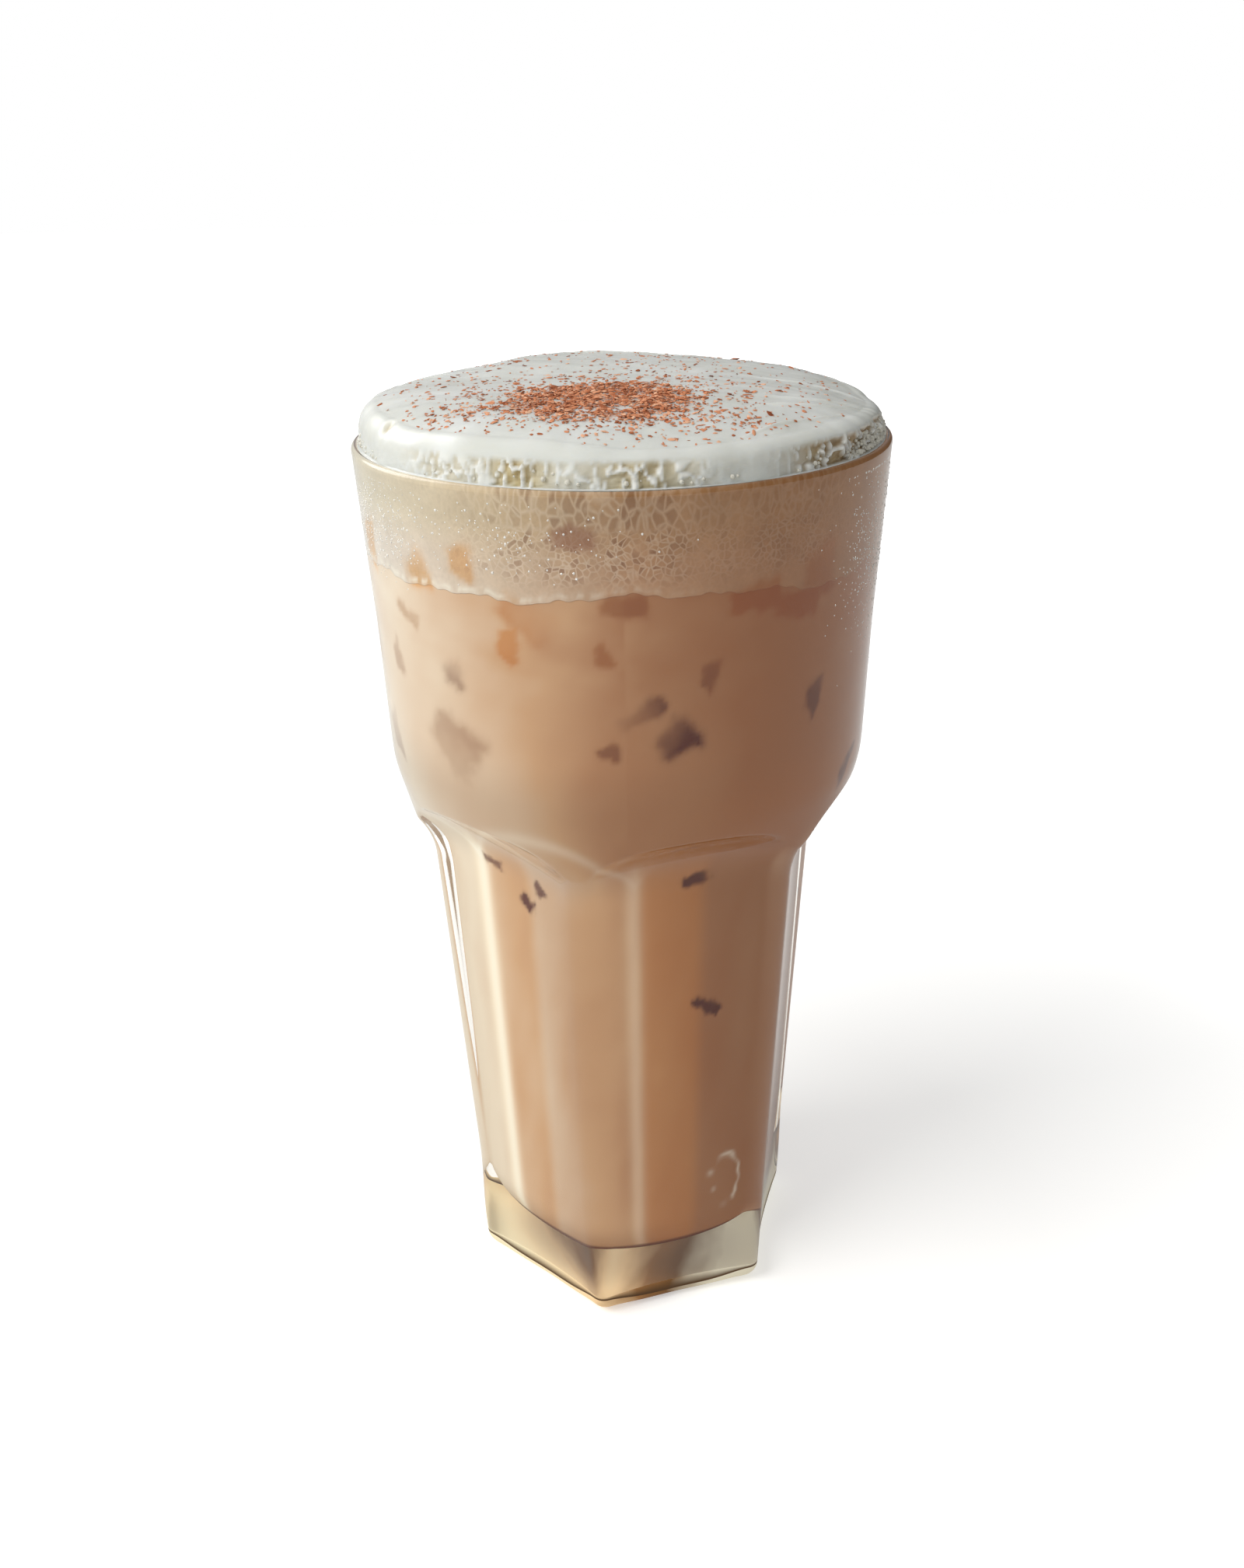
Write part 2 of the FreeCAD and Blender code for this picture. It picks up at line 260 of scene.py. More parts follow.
def blank_radius(height):
    """Outside of the turned blank: four tapers, foot to neck, shoulder, waist and rim, with soft corners."""
    foot = FOOT_RADIUS + (NECK_RADIUS - FOOT_RADIUS) * height / NECK_HEIGHT
    flare = (SHOULDER_RADIUS - NECK_RADIUS) / (SHOULDER_HEIGHT - NECK_HEIGHT)
    neck = NECK_RADIUS + flare * (height - NECK_HEIGHT)
    slope = (WAIST_RADIUS - SHOULDER_RADIUS) / (WAIST_HEIGHT - SHOULDER_HEIGHT)
    shoulder = SHOULDER_RADIUS + slope * (height - SHOULDER_HEIGHT)
    rim = WAIST_RADIUS + (RIM_RADIUS - WAIST_RADIUS) * (height - WAIST_HEIGHT) / (RIM_HEIGHT - WAIST_HEIGHT)
    lower = soft_min(soft_max(foot, neck, NECK_BLEND), shoulder, SHOULDER_BLEND)
    return np.where(height > WAIST_HEIGHT, rim, lower)


def panel_radius(azimuth, height):
    """Distance from the axis to the nearest hollow panel.

    A panel is an arc about an upright line far outside the foot. Its middle leans out to the neck and then
    follows a tangent arc out through the shoulder, so that the panel ends in an arch.
    """
    lean = math.atan2(PANEL_NECK - PANEL_FOOT, NECK_HEIGHT)
    centre = PANEL_NECK + SCOOP_RADIUS * math.cos(lean)
    rise = np.clip(height - NECK_HEIGHT + SCOOP_RADIUS * math.sin(lean), 0.0, SCOOP_RADIUS * 0.999)
    flat = PANEL_FOOT + (PANEL_NECK - PANEL_FOOT) * height / NECK_HEIGHT
    scooped = centre - np.sqrt(SCOOP_RADIUS ** 2 - rise ** 2)
    end = centre - math.sqrt(SCOOP_RADIUS ** 2 - (SCOOP_TOP - SCOOP_START) ** 2)
    above = end + (height - SCOOP_TOP) * SCOOP_SLOPE
    middle = np.where(height < NECK_HEIGHT, flat, np.where(height < SCOOP_TOP, scooped, above))
    axis = PANEL_FOOT + PANEL_HOLLOW
    middle = np.minimum(middle, axis - 1.0)
    nearest = turned(azimuth, PANEL_MIDDLE + PANEL_STEP * np.round((azimuth - PANEL_MIDDLE) / PANEL_STEP))
    reach = []
    for offset in (nearest, nearest - PANEL_STEP, nearest + PANEL_STEP):
        turn = np.radians(offset)
        across = (axis - middle) ** 2 - (axis * np.sin(turn)) ** 2
        meets = axis * np.cos(turn) - np.sqrt(np.maximum(across, 0.0))
        reach.append(np.where(across > 0.0, meets, 2.0 * RIM_RADIUS))
    rounding = RIB_ROUND_FOOT + (RIB_ROUND - RIB_ROUND_FOOT) * smooth_step(6.0, 24.0, height)
    return soft_min(reach[0], np.minimum(reach[1], reach[2]), rounding)


def outer_radius(azimuth, height):
    """The pressed outside: the blank where it is inside the panels, the panels elsewhere."""
    return soft_min(blank_radius(height), panel_radius(azimuth, height), PANEL_EDGE)


def cavity_radius(height):
    """The smooth round inside above the floor's rounding: four tapers with rounded corners."""
    taper = (CAVITY_NECK_RADIUS - FLOOR_RADIUS) / (CAVITY_NECK_HEIGHT - FLOOR_HEIGHT)
    foot = FLOOR_RADIUS + taper * (height - FLOOR_HEIGHT)
    flare = (CAVITY_SHOULDER_RADIUS - CAVITY_NECK_RADIUS) / (CAVITY_SHOULDER_HEIGHT - CAVITY_NECK_HEIGHT)
    neck = CAVITY_NECK_RADIUS + flare * (height - CAVITY_NECK_HEIGHT)
    slope = (CAVITY_WAIST_RADIUS - CAVITY_SHOULDER_RADIUS) / (WAIST_HEIGHT - CAVITY_SHOULDER_HEIGHT)
    shoulder = CAVITY_SHOULDER_RADIUS + slope * (height - CAVITY_SHOULDER_HEIGHT)
    opening = (CAVITY_RIM_RADIUS - CAVITY_WAIST_RADIUS) / (RIM_HEIGHT - WAIST_HEIGHT)
    rim = CAVITY_WAIST_RADIUS + opening * (height - WAIST_HEIGHT)
    lower = soft_min(soft_max(foot, neck, CAVITY_NECK_BLEND), shoulder, CAVITY_SHOULDER_BLEND)
    return np.where(height > WAIST_HEIGHT, rim, lower)


def wall_inside(height):
    """The inside of the wall with its mouth, which widens over the last few millimetres to a thin lip."""
    return cavity_radius(height) + MOUTH_WIDER * smooth_step(MOUTH_START, MOUTH_END, height)


def cavity_floor(count, grow):
    """Radii and heights of the cavity's floor and its rounding, from near the axis out, grown by a margin."""
    flat = np.linspace(0.0, FLOOR_RADIUS - FLOOR_ROUND, count)[1:]
    turn = np.linspace(0.0, np.pi / 2.0, count + 4)[1:]
    height = np.concatenate([np.full(count - 1, FLOOR_HEIGHT - grow),
                             FLOOR_HEIGHT + FLOOR_ROUND - (FLOOR_ROUND + grow) * np.cos(turn)])
    outward = cavity_radius(FLOOR_HEIGHT + FLOOR_ROUND) - FLOOR_ROUND
    radius = np.concatenate([flat * outward / flat[-1], outward + (FLOOR_ROUND + grow) * np.sin(turn)])
    return radius, height


def make_tumbler(glass, underside):
    """Closed glass: recess, standing ring, heel, panelled wall, lip, inner wall and floor, ring by ring.

    The heel is rounder at the corners of the foot. Everything below the two seam rows takes the underside's
    finish.
    """
    azimuth = np.arange(TUMBLER_COLUMNS) * 360.0 / TUMBLER_COLUMNS
    foot = outer_radius(azimuth, np.zeros(azimuth.shape))
    flat = foot - HEEL_ROUND - HEEL_CORNER - RECESS_RADIUS
    rows = [(4.0, RECESS_DEPTH), (12.0, RECESS_DEPTH), (18.0, RECESS_DEPTH), (RECESS_RADIUS, 0.0)]
    rows += [(RECESS_RADIUS + flat * share, 0.0) for share in (0.35, 0.8)]
    corner = HEEL_ROUND + HEEL_CORNER * smooth_step(foot.min(), foot.max(), foot)
    for turn in np.linspace(0.0, np.pi / 2.0, 8):
        level = HEEL_SQUASH * corner * (1.0 - math.cos(turn))
        rows.append((outer_radius(azimuth, level) - corner * (1.0 - math.sin(turn)), level))
    for rise in SEAM:
        rows.append((outer_radius(azimuth, HEEL_SQUASH * corner + rise), HEEL_SQUASH * corner + rise))
    standing = len(rows)
    levels = np.concatenate([np.arange(4.6, 84.0, 1.6), np.arange(84.0, 107.0, 0.32),
                             np.arange(107.0, 158.4, 2.0), [RIM_HEIGHT - LIP_ROUND]])
    rows += [(outer_radius(azimuth, np.full(azimuth.shape, level)), level) for level in levels]
    lip = [(LIP_ROUND * (1.0 - math.cos(turn)), RIM_HEIGHT - LIP_ROUND * (1.0 - math.sin(turn)))
           for turn in np.linspace(0.0, np.pi / 2.0, 9)[1:]]
    rows += [(RIM_RADIUS - LIP_INSET - inset, level) for inset, level in lip]
    rows += [(wall_inside(RIM_HEIGHT) + inset, level) for inset, level in lip[::-1]]
    down = np.concatenate([np.arange(158.9, 152.0, -0.7), np.arange(150.5, 122.0, -4.0),
                           np.arange(120.0, 84.0, -1.5), np.arange(84.0, 20.0, -8.0)])
    rows += [(wall_inside(level), level) for level in down]
    rows += list(zip(*cavity_floor(8, 0.0)))[::-1]
    radius, height = ring_rows(rows, azimuth)
    seam = np.zeros(radius.shape)
    seam[standing - len(SEAM):standing] = 1.0
    tumbler = add_rings("tumbler", radius, height, RECESS_DEPTH, FLOOR_HEIGHT, azimuth, {"seam": seam})
    tumbler.data.materials.append(glass)
    tumbler.data.materials.append(underside)
    slots = np.zeros(len(tumbler.data.polygons), dtype=np.int32)
    slots[:standing * len(azimuth)] = 1
    slots[-2 * len(azimuth):-len(azimuth)] = 1
    tumbler.data.polygons.foreach_set("material_index", slots)
    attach(tumbler, "root")
    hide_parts("glass_tumbler")


def pressed_glass():
    """Pressed soda-lime glass, fire-polished: clear with a faint warm grey, IOR 1.52.

    Lamps and soft light reach the drink through it, as they do through thin real glass.
    """
    material, tree = new_material("pressed_soda_lime_glass")
    glass = add_node(tree, "BsdfPrincipled", {
        "Base Color": linear("#f9f8f3"), "Roughness": 0.0, "IOR": 1.52, "Transmission Weight": 1.0})
    clear = add_node(tree, "BsdfTransparent", {"Color": linear("#f8faf8")})
    ray = add_node(tree, "LightPath").outputs
    soft = add_node(tree, "Math", {0: ray["Is Shadow Ray"], 1: ray["Is Diffuse Ray"]}, operation="MAXIMUM")
    both = add_node(tree, "MixShader", {0: soft.outputs[0], 1: glass.outputs[0], 2: clear.outputs[0]})
    add_node(tree, "OutputMaterial", {"Surface": both.outputs[0]})
    return material


def glass_underside():
    """The satin skin that the mould leaves under the foot, with the drink's colours and pale glints, as the
    thick base shows them through it, painted on as painted refraction and reflection.

    Its painted tones run from pale straw on one side through honey and dark brown in the middle, where the
    drink shows, to a stone grey, and a fine dark line marks the heel's upper edge. It also glows faintly in
    its own tones: painted light, though it is no lamp.
    """
    material, tree = new_material("moulded_glass_underside_painted_light")
    in_mm = object_mm(tree)
    side = add_node(tree, "SeparateXYZ", {"Vector": in_mm}).outputs["X"]
    bands = add_node(tree, "Mapping", {"Vector": in_mm, "Scale": (0.16, 0.05, 0.3)}).outputs[0]
    uneven = add_node(tree, "TexNoise", {"Vector": bands, "Scale": 1.0, "Detail": 2.0}).outputs["Fac"]
    across = add_node(tree, "Math", {0: uneven, 1: 8.0, 2: side}, operation="MULTIPLY_ADD").outputs[0]
    share = add_node(tree, "MapRange", {"Value": across, "From Min": -20.0, "From Max": 32.0}).outputs[0]
    # Painted refraction and reflection: tones of the drink and pale glints as the thick base would show them,
    # laid across it by x.
    straw, painted_honey_light, brown, dark, stone = "#ded2b0", "#dfc196", "#8f653c", "#6e4c2a", "#d0c8b2"
    tones = ((0.0, straw), (0.32, painted_honey_light), (0.46, brown), (0.58, dark), (0.74, stone), (1.0, stone))
    tone = add_node(tree, "ValToRGB", {"Fac": share}, tones).outputs["Color"]
    seam = add_node(tree, "Attribute", attribute_name="seam").outputs["Fac"]
    tone = layered(tree, tone, (seam, "#4b3520"))
    # The emission is painted light: the underside glows faintly in its own tones.
    surface = add_node(tree, "BsdfPrincipled", {
        "Base Color": tone, "Roughness": 0.5, "IOR": 1.52, "Specular IOR Level": 0.1,
        "Emission Color": tone, "Emission Strength": 0.38})
    add_node(tree, "OutputMaterial", {"Surface": surface.outputs[0]})
    return material


# ---------------------------------------------------------------- ice

# Where ice touches the glass: azimuth, height, half length, half width, tilt of the length from level,
# how fast the ice draws back from the glass along its length and across it, and how amber it looks.
ICE_TOUCHES = (
    (-70.0, 146.5, 1.6, 3.2, -8.0, 0.1, 0.0, 1.0), (-48.5, 145.0, 2.0, 2.0, 20.0, 0.0, 0.2, 1.0),
    (-35.0, 148.0, 1.5, 2.1, 0.0, 0.0, 0.1, 0.9), (27.5, 142.2, 4.2, 1.4, 6.0, 0.0, 0.0, 0.85),
    (44.5, 145.0, 2.4, 3.2, 0.0, 0.05, 0.1, 0.8), (38.5, 140.0, 4.4, 1.4, -4.0, 0.0, 0.1, 0.85),
    (-0.5, 142.6, 3.2, 1.0, 0.0, 0.0, 0.1, 0.65), (-10.0, 153.0, 2.9, 1.1, 0.0, 0.0, 0.1, 0.1),
    (-20.5, 140.3, 4.2, 2.2, -32.0, 0.15, 0.3, 0.8), (-25.5, 135.6, 0.9, 2.4, -8.0, 0.1, 0.0, 0.9),
    (-5.0, 135.0, 0.8, 1.5, 22.0, 0.0, 0.2, 0.7), (-40.5, 129.2, 1.3, 1.5, 0.0, 0.1, 0.3, 0.1),
    (-42.5, 117.0, 4.4, 3.4, -38.0, 0.05, -0.1, 0.25), (10.5, 120.8, 2.6, 1.9, 38.0, -0.08, 0.2, 0.0),
    (3.0, 125.2, 4.2, 0.8, 30.0, -0.24, 0.1, 0.2), (-4.0, 119.0, 1.0, 0.8, 10.0, 0.1, 0.1, 0.4),
    (45.5, 123.5, 0.9, 2.6, -14.0, 0.0, 0.1, 0.25), (67.0, 107.0, 0.9, 2.6, -28.0, 0.0, 0.1, 0.2),
    (-53.0, 90.8, 2.4, 0.4, -14.0, 0.0, 0.2, 0.2), (-30.0, 88.6, 0.5, 0.9, 30.0, 0.0, 0.1, 0.1),
    (-36.5, 84.8, 1.2, 0.6, -38.0, 0.0, 0.1, 0.0), (22.0, 91.0, 2.2, 0.7, 10.0, 0.1, 0.1, 0.0),
    (28.0, 64.6, 3.2, 0.5, -34.0, 0.0, 0.1, 0.0), (62.0, 73.5, 1.0, 0.8, 10.0, 0.1, 0.1, 0.3),
    (17.5, 130.5, 0.8, 2.0, -10.0, 0.1, 0.1, 0.5), (-62.0, 128.5, 0.9, 2.4, 12.0, 0.1, 0.1, 0.3),
    (-71.0, 113.0, 1.4, 3.4, 8.0, 0.2, 0.1, 0.2), (-54.0, 137.0, 3.0, 0.6, -22.0, 0.1, 0.1, 0.4),
    (-78.0, 128.5, 1.0, 3.0, -6.0, 0.2, 0.1, 0.4), (80.0, 136.0, 3.0, 1.2, 12.0, 0.1, 0.2, 0.4),
    (96.0, 121.0, 4.0, 2.6, 30.0, 0.1, 0.25, 0.1), (118.0, 143.6, 3.2, 1.4, -6.0, 0.1, 0.1, 0.9),
    (134.0, 127.0, 1.0, 2.8, 16.0, 0.1, 0.1, 0.2), (151.0, 139.5, 3.8, 1.6, -24.0, 0.1, 0.2, 0.7),
    (165.0, 118.0, 4.4, 2.8, 34.0, 0.12, 0.28, 0.1), (176.0, 131.0, 3.6, 0.8, 22.0, 0.1, 0.1, 0.3),
    (190.0, 89.5, 2.0, 0.8, -18.0, 0.1, 0.1, 0.0), (204.0, 144.0, 2.4, 1.8, 0.0, 0.0, 0.1, 0.8),
    (214.0, 124.0, 1.0, 2.6, -20.0, 0.1, 0.1, 0.2), (229.0, 113.5, 4.2, 3.0, -32.0, 0.12, -0.3, 0.2),
    (243.0, 137.5, 3.4, 0.9, 18.0, 0.1, 0.1, 0.5), (256.0, 127.0, 1.6, 1.6, 0.0, 0.1, 0.2, 0.2),
    (150.0, 86.0, 1.4, 0.9, 34.0, 0.1, 0.1, 0.1), (238.0, 92.0, 2.2, 0.7, -24.0, 0.1, 0.1, 0.1),
    (112.0, 78.0, 1.5, 0.7, 40.0, 0.1, 0.1, 0.1), (182.0, 60.0, 1.6, 0.6, -36.0, 0.1, 0.1, 0.0))
ICE_FILM = 1.15


def ice_seen(azimuth, height):
    """How much dark ice and amber ice shows at each place on the wall, each between 0 and 1.

    Each block has a sloping face near the glass and drops away steeply past its edges. The milk tea between
    the face and the glass hides it exponentially, by one e-fold for each ICE_FILM of depth, and above the
    arches to -X, where the tea is painted paler with milk and painted light, the dark ice is hidden by half
    as much again.
    """
    dark, amber = np.zeros(np.shape(azimuth)), np.zeros(np.shape(azimuth))
    wall = cavity_radius(height)
    stray = [0.5 * waves(azimuth * 0.7, height, 4.5, seed) for seed in (31, 32)]
    for middle, level, length, width, tilt, along_slope, across_slope, warmth in ICE_TOUCHES:
        side = wall * np.radians(turned(azimuth, middle))
        up = height - level
        turn = math.radians(tilt)
        along = side * math.cos(turn) + up * math.sin(turn) + stray[0]
        across = up * math.cos(turn) - side * math.sin(turn) + stray[1]
        face = (abs(along_slope) * (length + along * np.sign(along_slope))
                + abs(across_slope) * (width + across * np.sign(across_slope)))
        taper = 0.8 + 0.3 * np.clip(along / length, -1.0, 1.0)
        out = np.hypot(np.maximum(np.abs(along) - 0.8 * length, 0.0),
                       np.maximum(np.abs(across) - width * taper, 0.0))
        soft = 0.45 + 0.38 * min(length, width)
        seen = np.minimum(1.35 * np.exp(-face / ICE_FILM) * np.exp(-(out / soft) ** 2), 1.0)
        dark = np.maximum(dark, seen * (1.0 - warmth))
        amber = np.maximum(amber, seen * warmth)
    milk = smooth_step(-0.1, -0.75, np.sin(np.radians(azimuth))) * smooth_step(94.0, 102.0, height)
    return dark * (1.0 - 0.5 * milk), amber


# ---------------------------------------------------------------- milk tea

def arch_height(azimuth):
    """Height of the panels' arched upper edge: its crown over the middle of a panel, its foot at the ribs."""
    half = PANEL_STEP / 2.0
    share = np.abs((azimuth - PANEL_MIDDLE + half) % PANEL_STEP - half) / half
    return ARCH_CROWN - ARCH_DROP * share ** 2.3


# Milk left inside the glass: azimuth, height and distance of its middle from the axis
FILM_AZIMUTH, FILM_LEVEL, FILM_DISTANCE = 40.0, 24.5, 24.5


def milk_film(azimuth, height):
    """A thin curl of milk on the inside of the glass, low at the right: part of a ring and two spots."""
    side = FILM_DISTANCE * np.radians(turned(azimuth, FILM_AZIMUTH))
    up = height - FILM_LEVEL
    ring = bump(np.hypot(side * 1.25, up * 0.8) + 0.25 * np.sin(1.9 * up), 4.6, 0.45)
    ring = ring * smooth_step(-2.5, 0.5, side)
    spots = bump(np.hypot(side + 3.2, up - 2.5), 0.0, 0.7) + bump(np.hypot(side + 2.4, up + 1.6), 0.0, 0.5)
    return np.clip(ring * (0.75 + 0.25 * np.sin(1.3 * up)) + 0.6 * spots, 0.0, 1.0)


def tea_marks(azimuth, height):
    """Tone of the milk tea at the glass: how milky and how lit it is, its painted honey-coloured light, and
    the painted light thrown on it.

    The tea is painted paler to -X, the lamp's side, and deeper to +X in a smooth power of x: partly milk
    lying thicker to -X, partly painted light and shade. The pressed ribs throw a painted bright streak down
    the drink beside each of them, with a wide soft band of painted honey-coloured light next to it, and the
    arches throw a soft painted ridge of light.
    """
    side = np.sin(np.radians(azimuth))
    lit = smooth_step(0.75, -1.0, side)
    # Painted light and shade as well as milk: paler to -X, where the lamp is, and deeper to +X.
    milk_and_side_light = np.clip((0.55 - side) / 1.55, 0.0, 1.0) ** 1.25
    swirl = waves(azimuth * 0.6, height * 0.7, 26.0, 3)
    foot = 1.0 - smooth_step(91.0, 100.0, height)
    past_rib = (azimuth - PANEL_MIDDLE + PANEL_STEP / 2.0) % PANEL_STEP
    streak_place = 12.5 + 0.3 * lit ** 3
    streak_width = 3.2 + 1.2 * lit ** 3
    streak = bump(past_rib, streak_place, streak_width) * foot
    band = smooth_step(13.0, 17.0, past_rib) * (1.0 - smooth_step(34.0, 42.0, past_rib)) * foot
    ridge = bump(height, arch_height(azimuth - 13.0) - 1.6, 1.3) * smooth_step(0.25, 0.75, lit)
    wisp = waves(azimuth * 0.5 + height * 0.3, height * 1.3, 12.0, 14) * smooth_step(118.0, 134.0, height)
    # Below the arches: painted a little paler on the shaded side and deeper in the lit band, as painted light
    # and shade.
    milk_and_side_light = milk_and_side_light + 0.06 * swirl + 0.05 * wisp + foot * (0.10 * (1.0 - lit) - 0.26 * band * lit)
    # Painted light: a bright streak beside each rib and a soft ridge under the arches, where light through
    # the glass would gather; the milk film is real.
    painted_caustics_and_milk_film = streak * (0.13 + 0.72 * lit ** 2) + 0.3 * ridge
    painted_caustics_and_milk_film = np.maximum(painted_caustics_and_milk_film, 0.55 * milk_film(azimuth, height))
    # Painted light: a warmer, brighter honey-coloured band beside each rib, strongest on the shaded side,
    # with half the streak.
    painted_honey_light = band * (0.1 + 0.9 * (1.0 - lit)) + 0.5 * streak
    dark, amber = ice_seen(azimuth, height)
    # Painted shade: a dark line along the tea's foot, where it meets the glass floor, carried with the dark
    # ice.
    dark = np.maximum(dark, 0.85 * (1.0 - smooth_step(FLOOR_HEIGHT + 1.5, FLOOR_HEIGHT + 2.6, height)))
    return {"milk_and_side_light": milk_and_side_light, "painted_caustics_and_milk_film": painted_caustics_and_milk_film, "painted_honey_light": painted_honey_light, "ice_dark": dark, "ice_amber": amber}


def make_tea(material):
    """The milk tea: the cavity from its floor to a little above the froth's lower edge."""
    azimuth = np.arange(TEA_COLUMNS) * 360.0 / TEA_COLUMNS
    floor_radius, floor_height = cavity_floor(8, REACH)
    levels = np.concatenate([np.arange(20.0, 33.0, 0.65), np.arange(33.0, 55.0, 2.2),
                             np.arange(55.0, TEA_TOP, 0.6)])
    radius = np.concatenate([floor_radius, cavity_radius(levels) + REACH, [30.0, 15.0]])
    height = np.concatenate([floor_height, levels, [TEA_TOP, TEA_TOP]])
    radius, height = ring_rows(zip(radius, height), azimuth)
    marks = tea_marks(np.broadcast_to(azimuth, height.shape), height)
    tea = add_rings("tea", radius, height, FLOOR_HEIGHT - REACH, TEA_TOP, azimuth, marks)
    tea.data.materials.append(material)
    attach(tea, "root")
    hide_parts("milk_tea")


def milk_tea():
    """Black tea with whole milk: opaque and even, deeper in colour where there is less milk, and painted
    deeper to +X and paler to -X as painted shade and light.

    Over that lie the painted honey-coloured light between the ribs, the painted light thrown on it with a
    curl of milk film, and the ice near the glass.
    """
    material, tree = new_material("milk_tea")
    marks = {name: add_node(tree, "Attribute", attribute_name=name).outputs["Fac"]
             for name in ("milk_and_side_light", "painted_honey_light", "painted_caustics_and_milk_film", "ice_amber", "ice_dark")}
    # This ramp is painted light and shade as well as milk: deep brown to +X, away from the lamp, pale cream
    # to -X.
    tone = add_node(tree, "ValToRGB", {"Fac": marks["milk_and_side_light"]}, (
        (0.0, "#a5683f"), (0.25, "#ae7851"), (0.5, "#c99c75"), (1.0, "#e8d6c0"))).outputs["Color"]
    # Painted light: the honey-coloured band and the bright streaks. The milk film and the ice are the drink's
    # own.
    tone = layered(tree, tone, (marks["painted_honey_light"], UNCHANGED, (1.30, 1.24, 0.98)), (marks["painted_caustics_and_milk_film"], "#fff4e2"),
                   (marks["ice_amber"], UNCHANGED, (0.97, 0.66, 0.33)), (marks["ice_dark"], "#591f06"))
    surface = add_node(tree, "BsdfPrincipled", {"Base Color": tone, **BEHIND_GLASS})
    add_node(tree, "OutputMaterial", {"Surface": surface.outputs[0]})
    return material


# ---------------------------------------------------------------- milk froth

def froth_edge(azimuth):
    """Height of the froth's lower edge round the glass: slow waves with small scallops."""
    turn = np.radians(azimuth)
    slow = 0.9 * np.sin(3.0 * turn + 1.7) + 0.7 * np.sin(5.0 * turn + 0.4) + 0.45 * np.sin(11.0 * turn + 2.0)
    fine = 0.28 * np.sin(23.0 * turn + 0.9) + 0.2 * np.abs(np.sin(47.0 * turn)) + 0.12 * np.sin(71.0 * turn)
    return 143.0 + 0.75 * slow + fine


def make_froth(material):
    """The froth: a closed ring-built body whose lower edge wanders round the wall over the milk tea.

    Its larger bubbles gather in patches, upright ones near the rim, and a pale lace of milk runs along its
    edge, painted only on the lit side to -X as painted light.
    """
    azimuth = np.arange(FROTH_COLUMNS) * 360.0 / FROTH_COLUMNS
    edge = froth_edge(azimuth)
    share = np.concatenate([[0.0, 0.003], np.linspace(0.04, 1.0, 25)])[:, None]
    height = edge[None, :] + (FROTH_TOP - edge[None, :]) * share
    radius = wall_inside(height) + REACH + OVER_TEA
    radius, height = ring_rows([(20.0, FROTH_UNDER), (radius[0] - 1.0, edge + 0.5), *zip(radius, height),
                                (20.0, FROTH_TOP)], azimuth)
    across = np.broadcast_to(azimuth, height.shape)
    side = np.sin(np.radians(across))
    dark, amber = ice_seen(across, height)
    cells = sum(depth * bump(turned(across, middle), 0.0, width) for middle, width, depth in (
        (-8.0, 19.0, 1.6), (132.0, 20.0, 1.2), (228.0, 14.0, 1.0), (36.0, 14.0, 0.4)))
    cells = np.clip(cells, 0.0, 1.0)
    patchy = np.clip(0.8 + 0.6 * waves(across * 0.73, height, 7.0, 41), 0.25, 1.0)
    # A pale lace of milk along the froth's edge, painted only on the lit side to -X: milk and painted light.
    lace_and_side_light = bump(height, froth_edge(across) + 0.6, 0.6) * smooth_step(0.5, -1.0, side)
    lace_and_side_light = lace_and_side_light * np.clip(0.45 + 0.8 * waves(across * 0.73, height, 3.0, 44), 0.0, 0.8)
    fresh = smooth_step(153.4, 154.6, height)
    # The first mark is painted light and shade as well as milk: paler to -X, towards the lamp, browner to +X.
    marks = {"milk_and_side_light": np.clip((0.55 - side) / 1.55, 0.0, 1.0) ** 1.1, "ice_dark": 0.8 * dark,
             "ice_amber": amber, "cells": cells * patchy * smooth_step(144.5, 148.0, height) * (1.0 - fresh),
             "tall_cells": 0.7 * cells * fresh, "high": smooth_step(147.0, 156.0, height), "lace_and_side_light": lace_and_side_light}
    froth = add_rings("froth", radius, height, FROTH_UNDER, FROTH_TOP, azimuth, marks)
    froth.data.materials.append(material)
    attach(froth, "root")
    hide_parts("milk_froth")


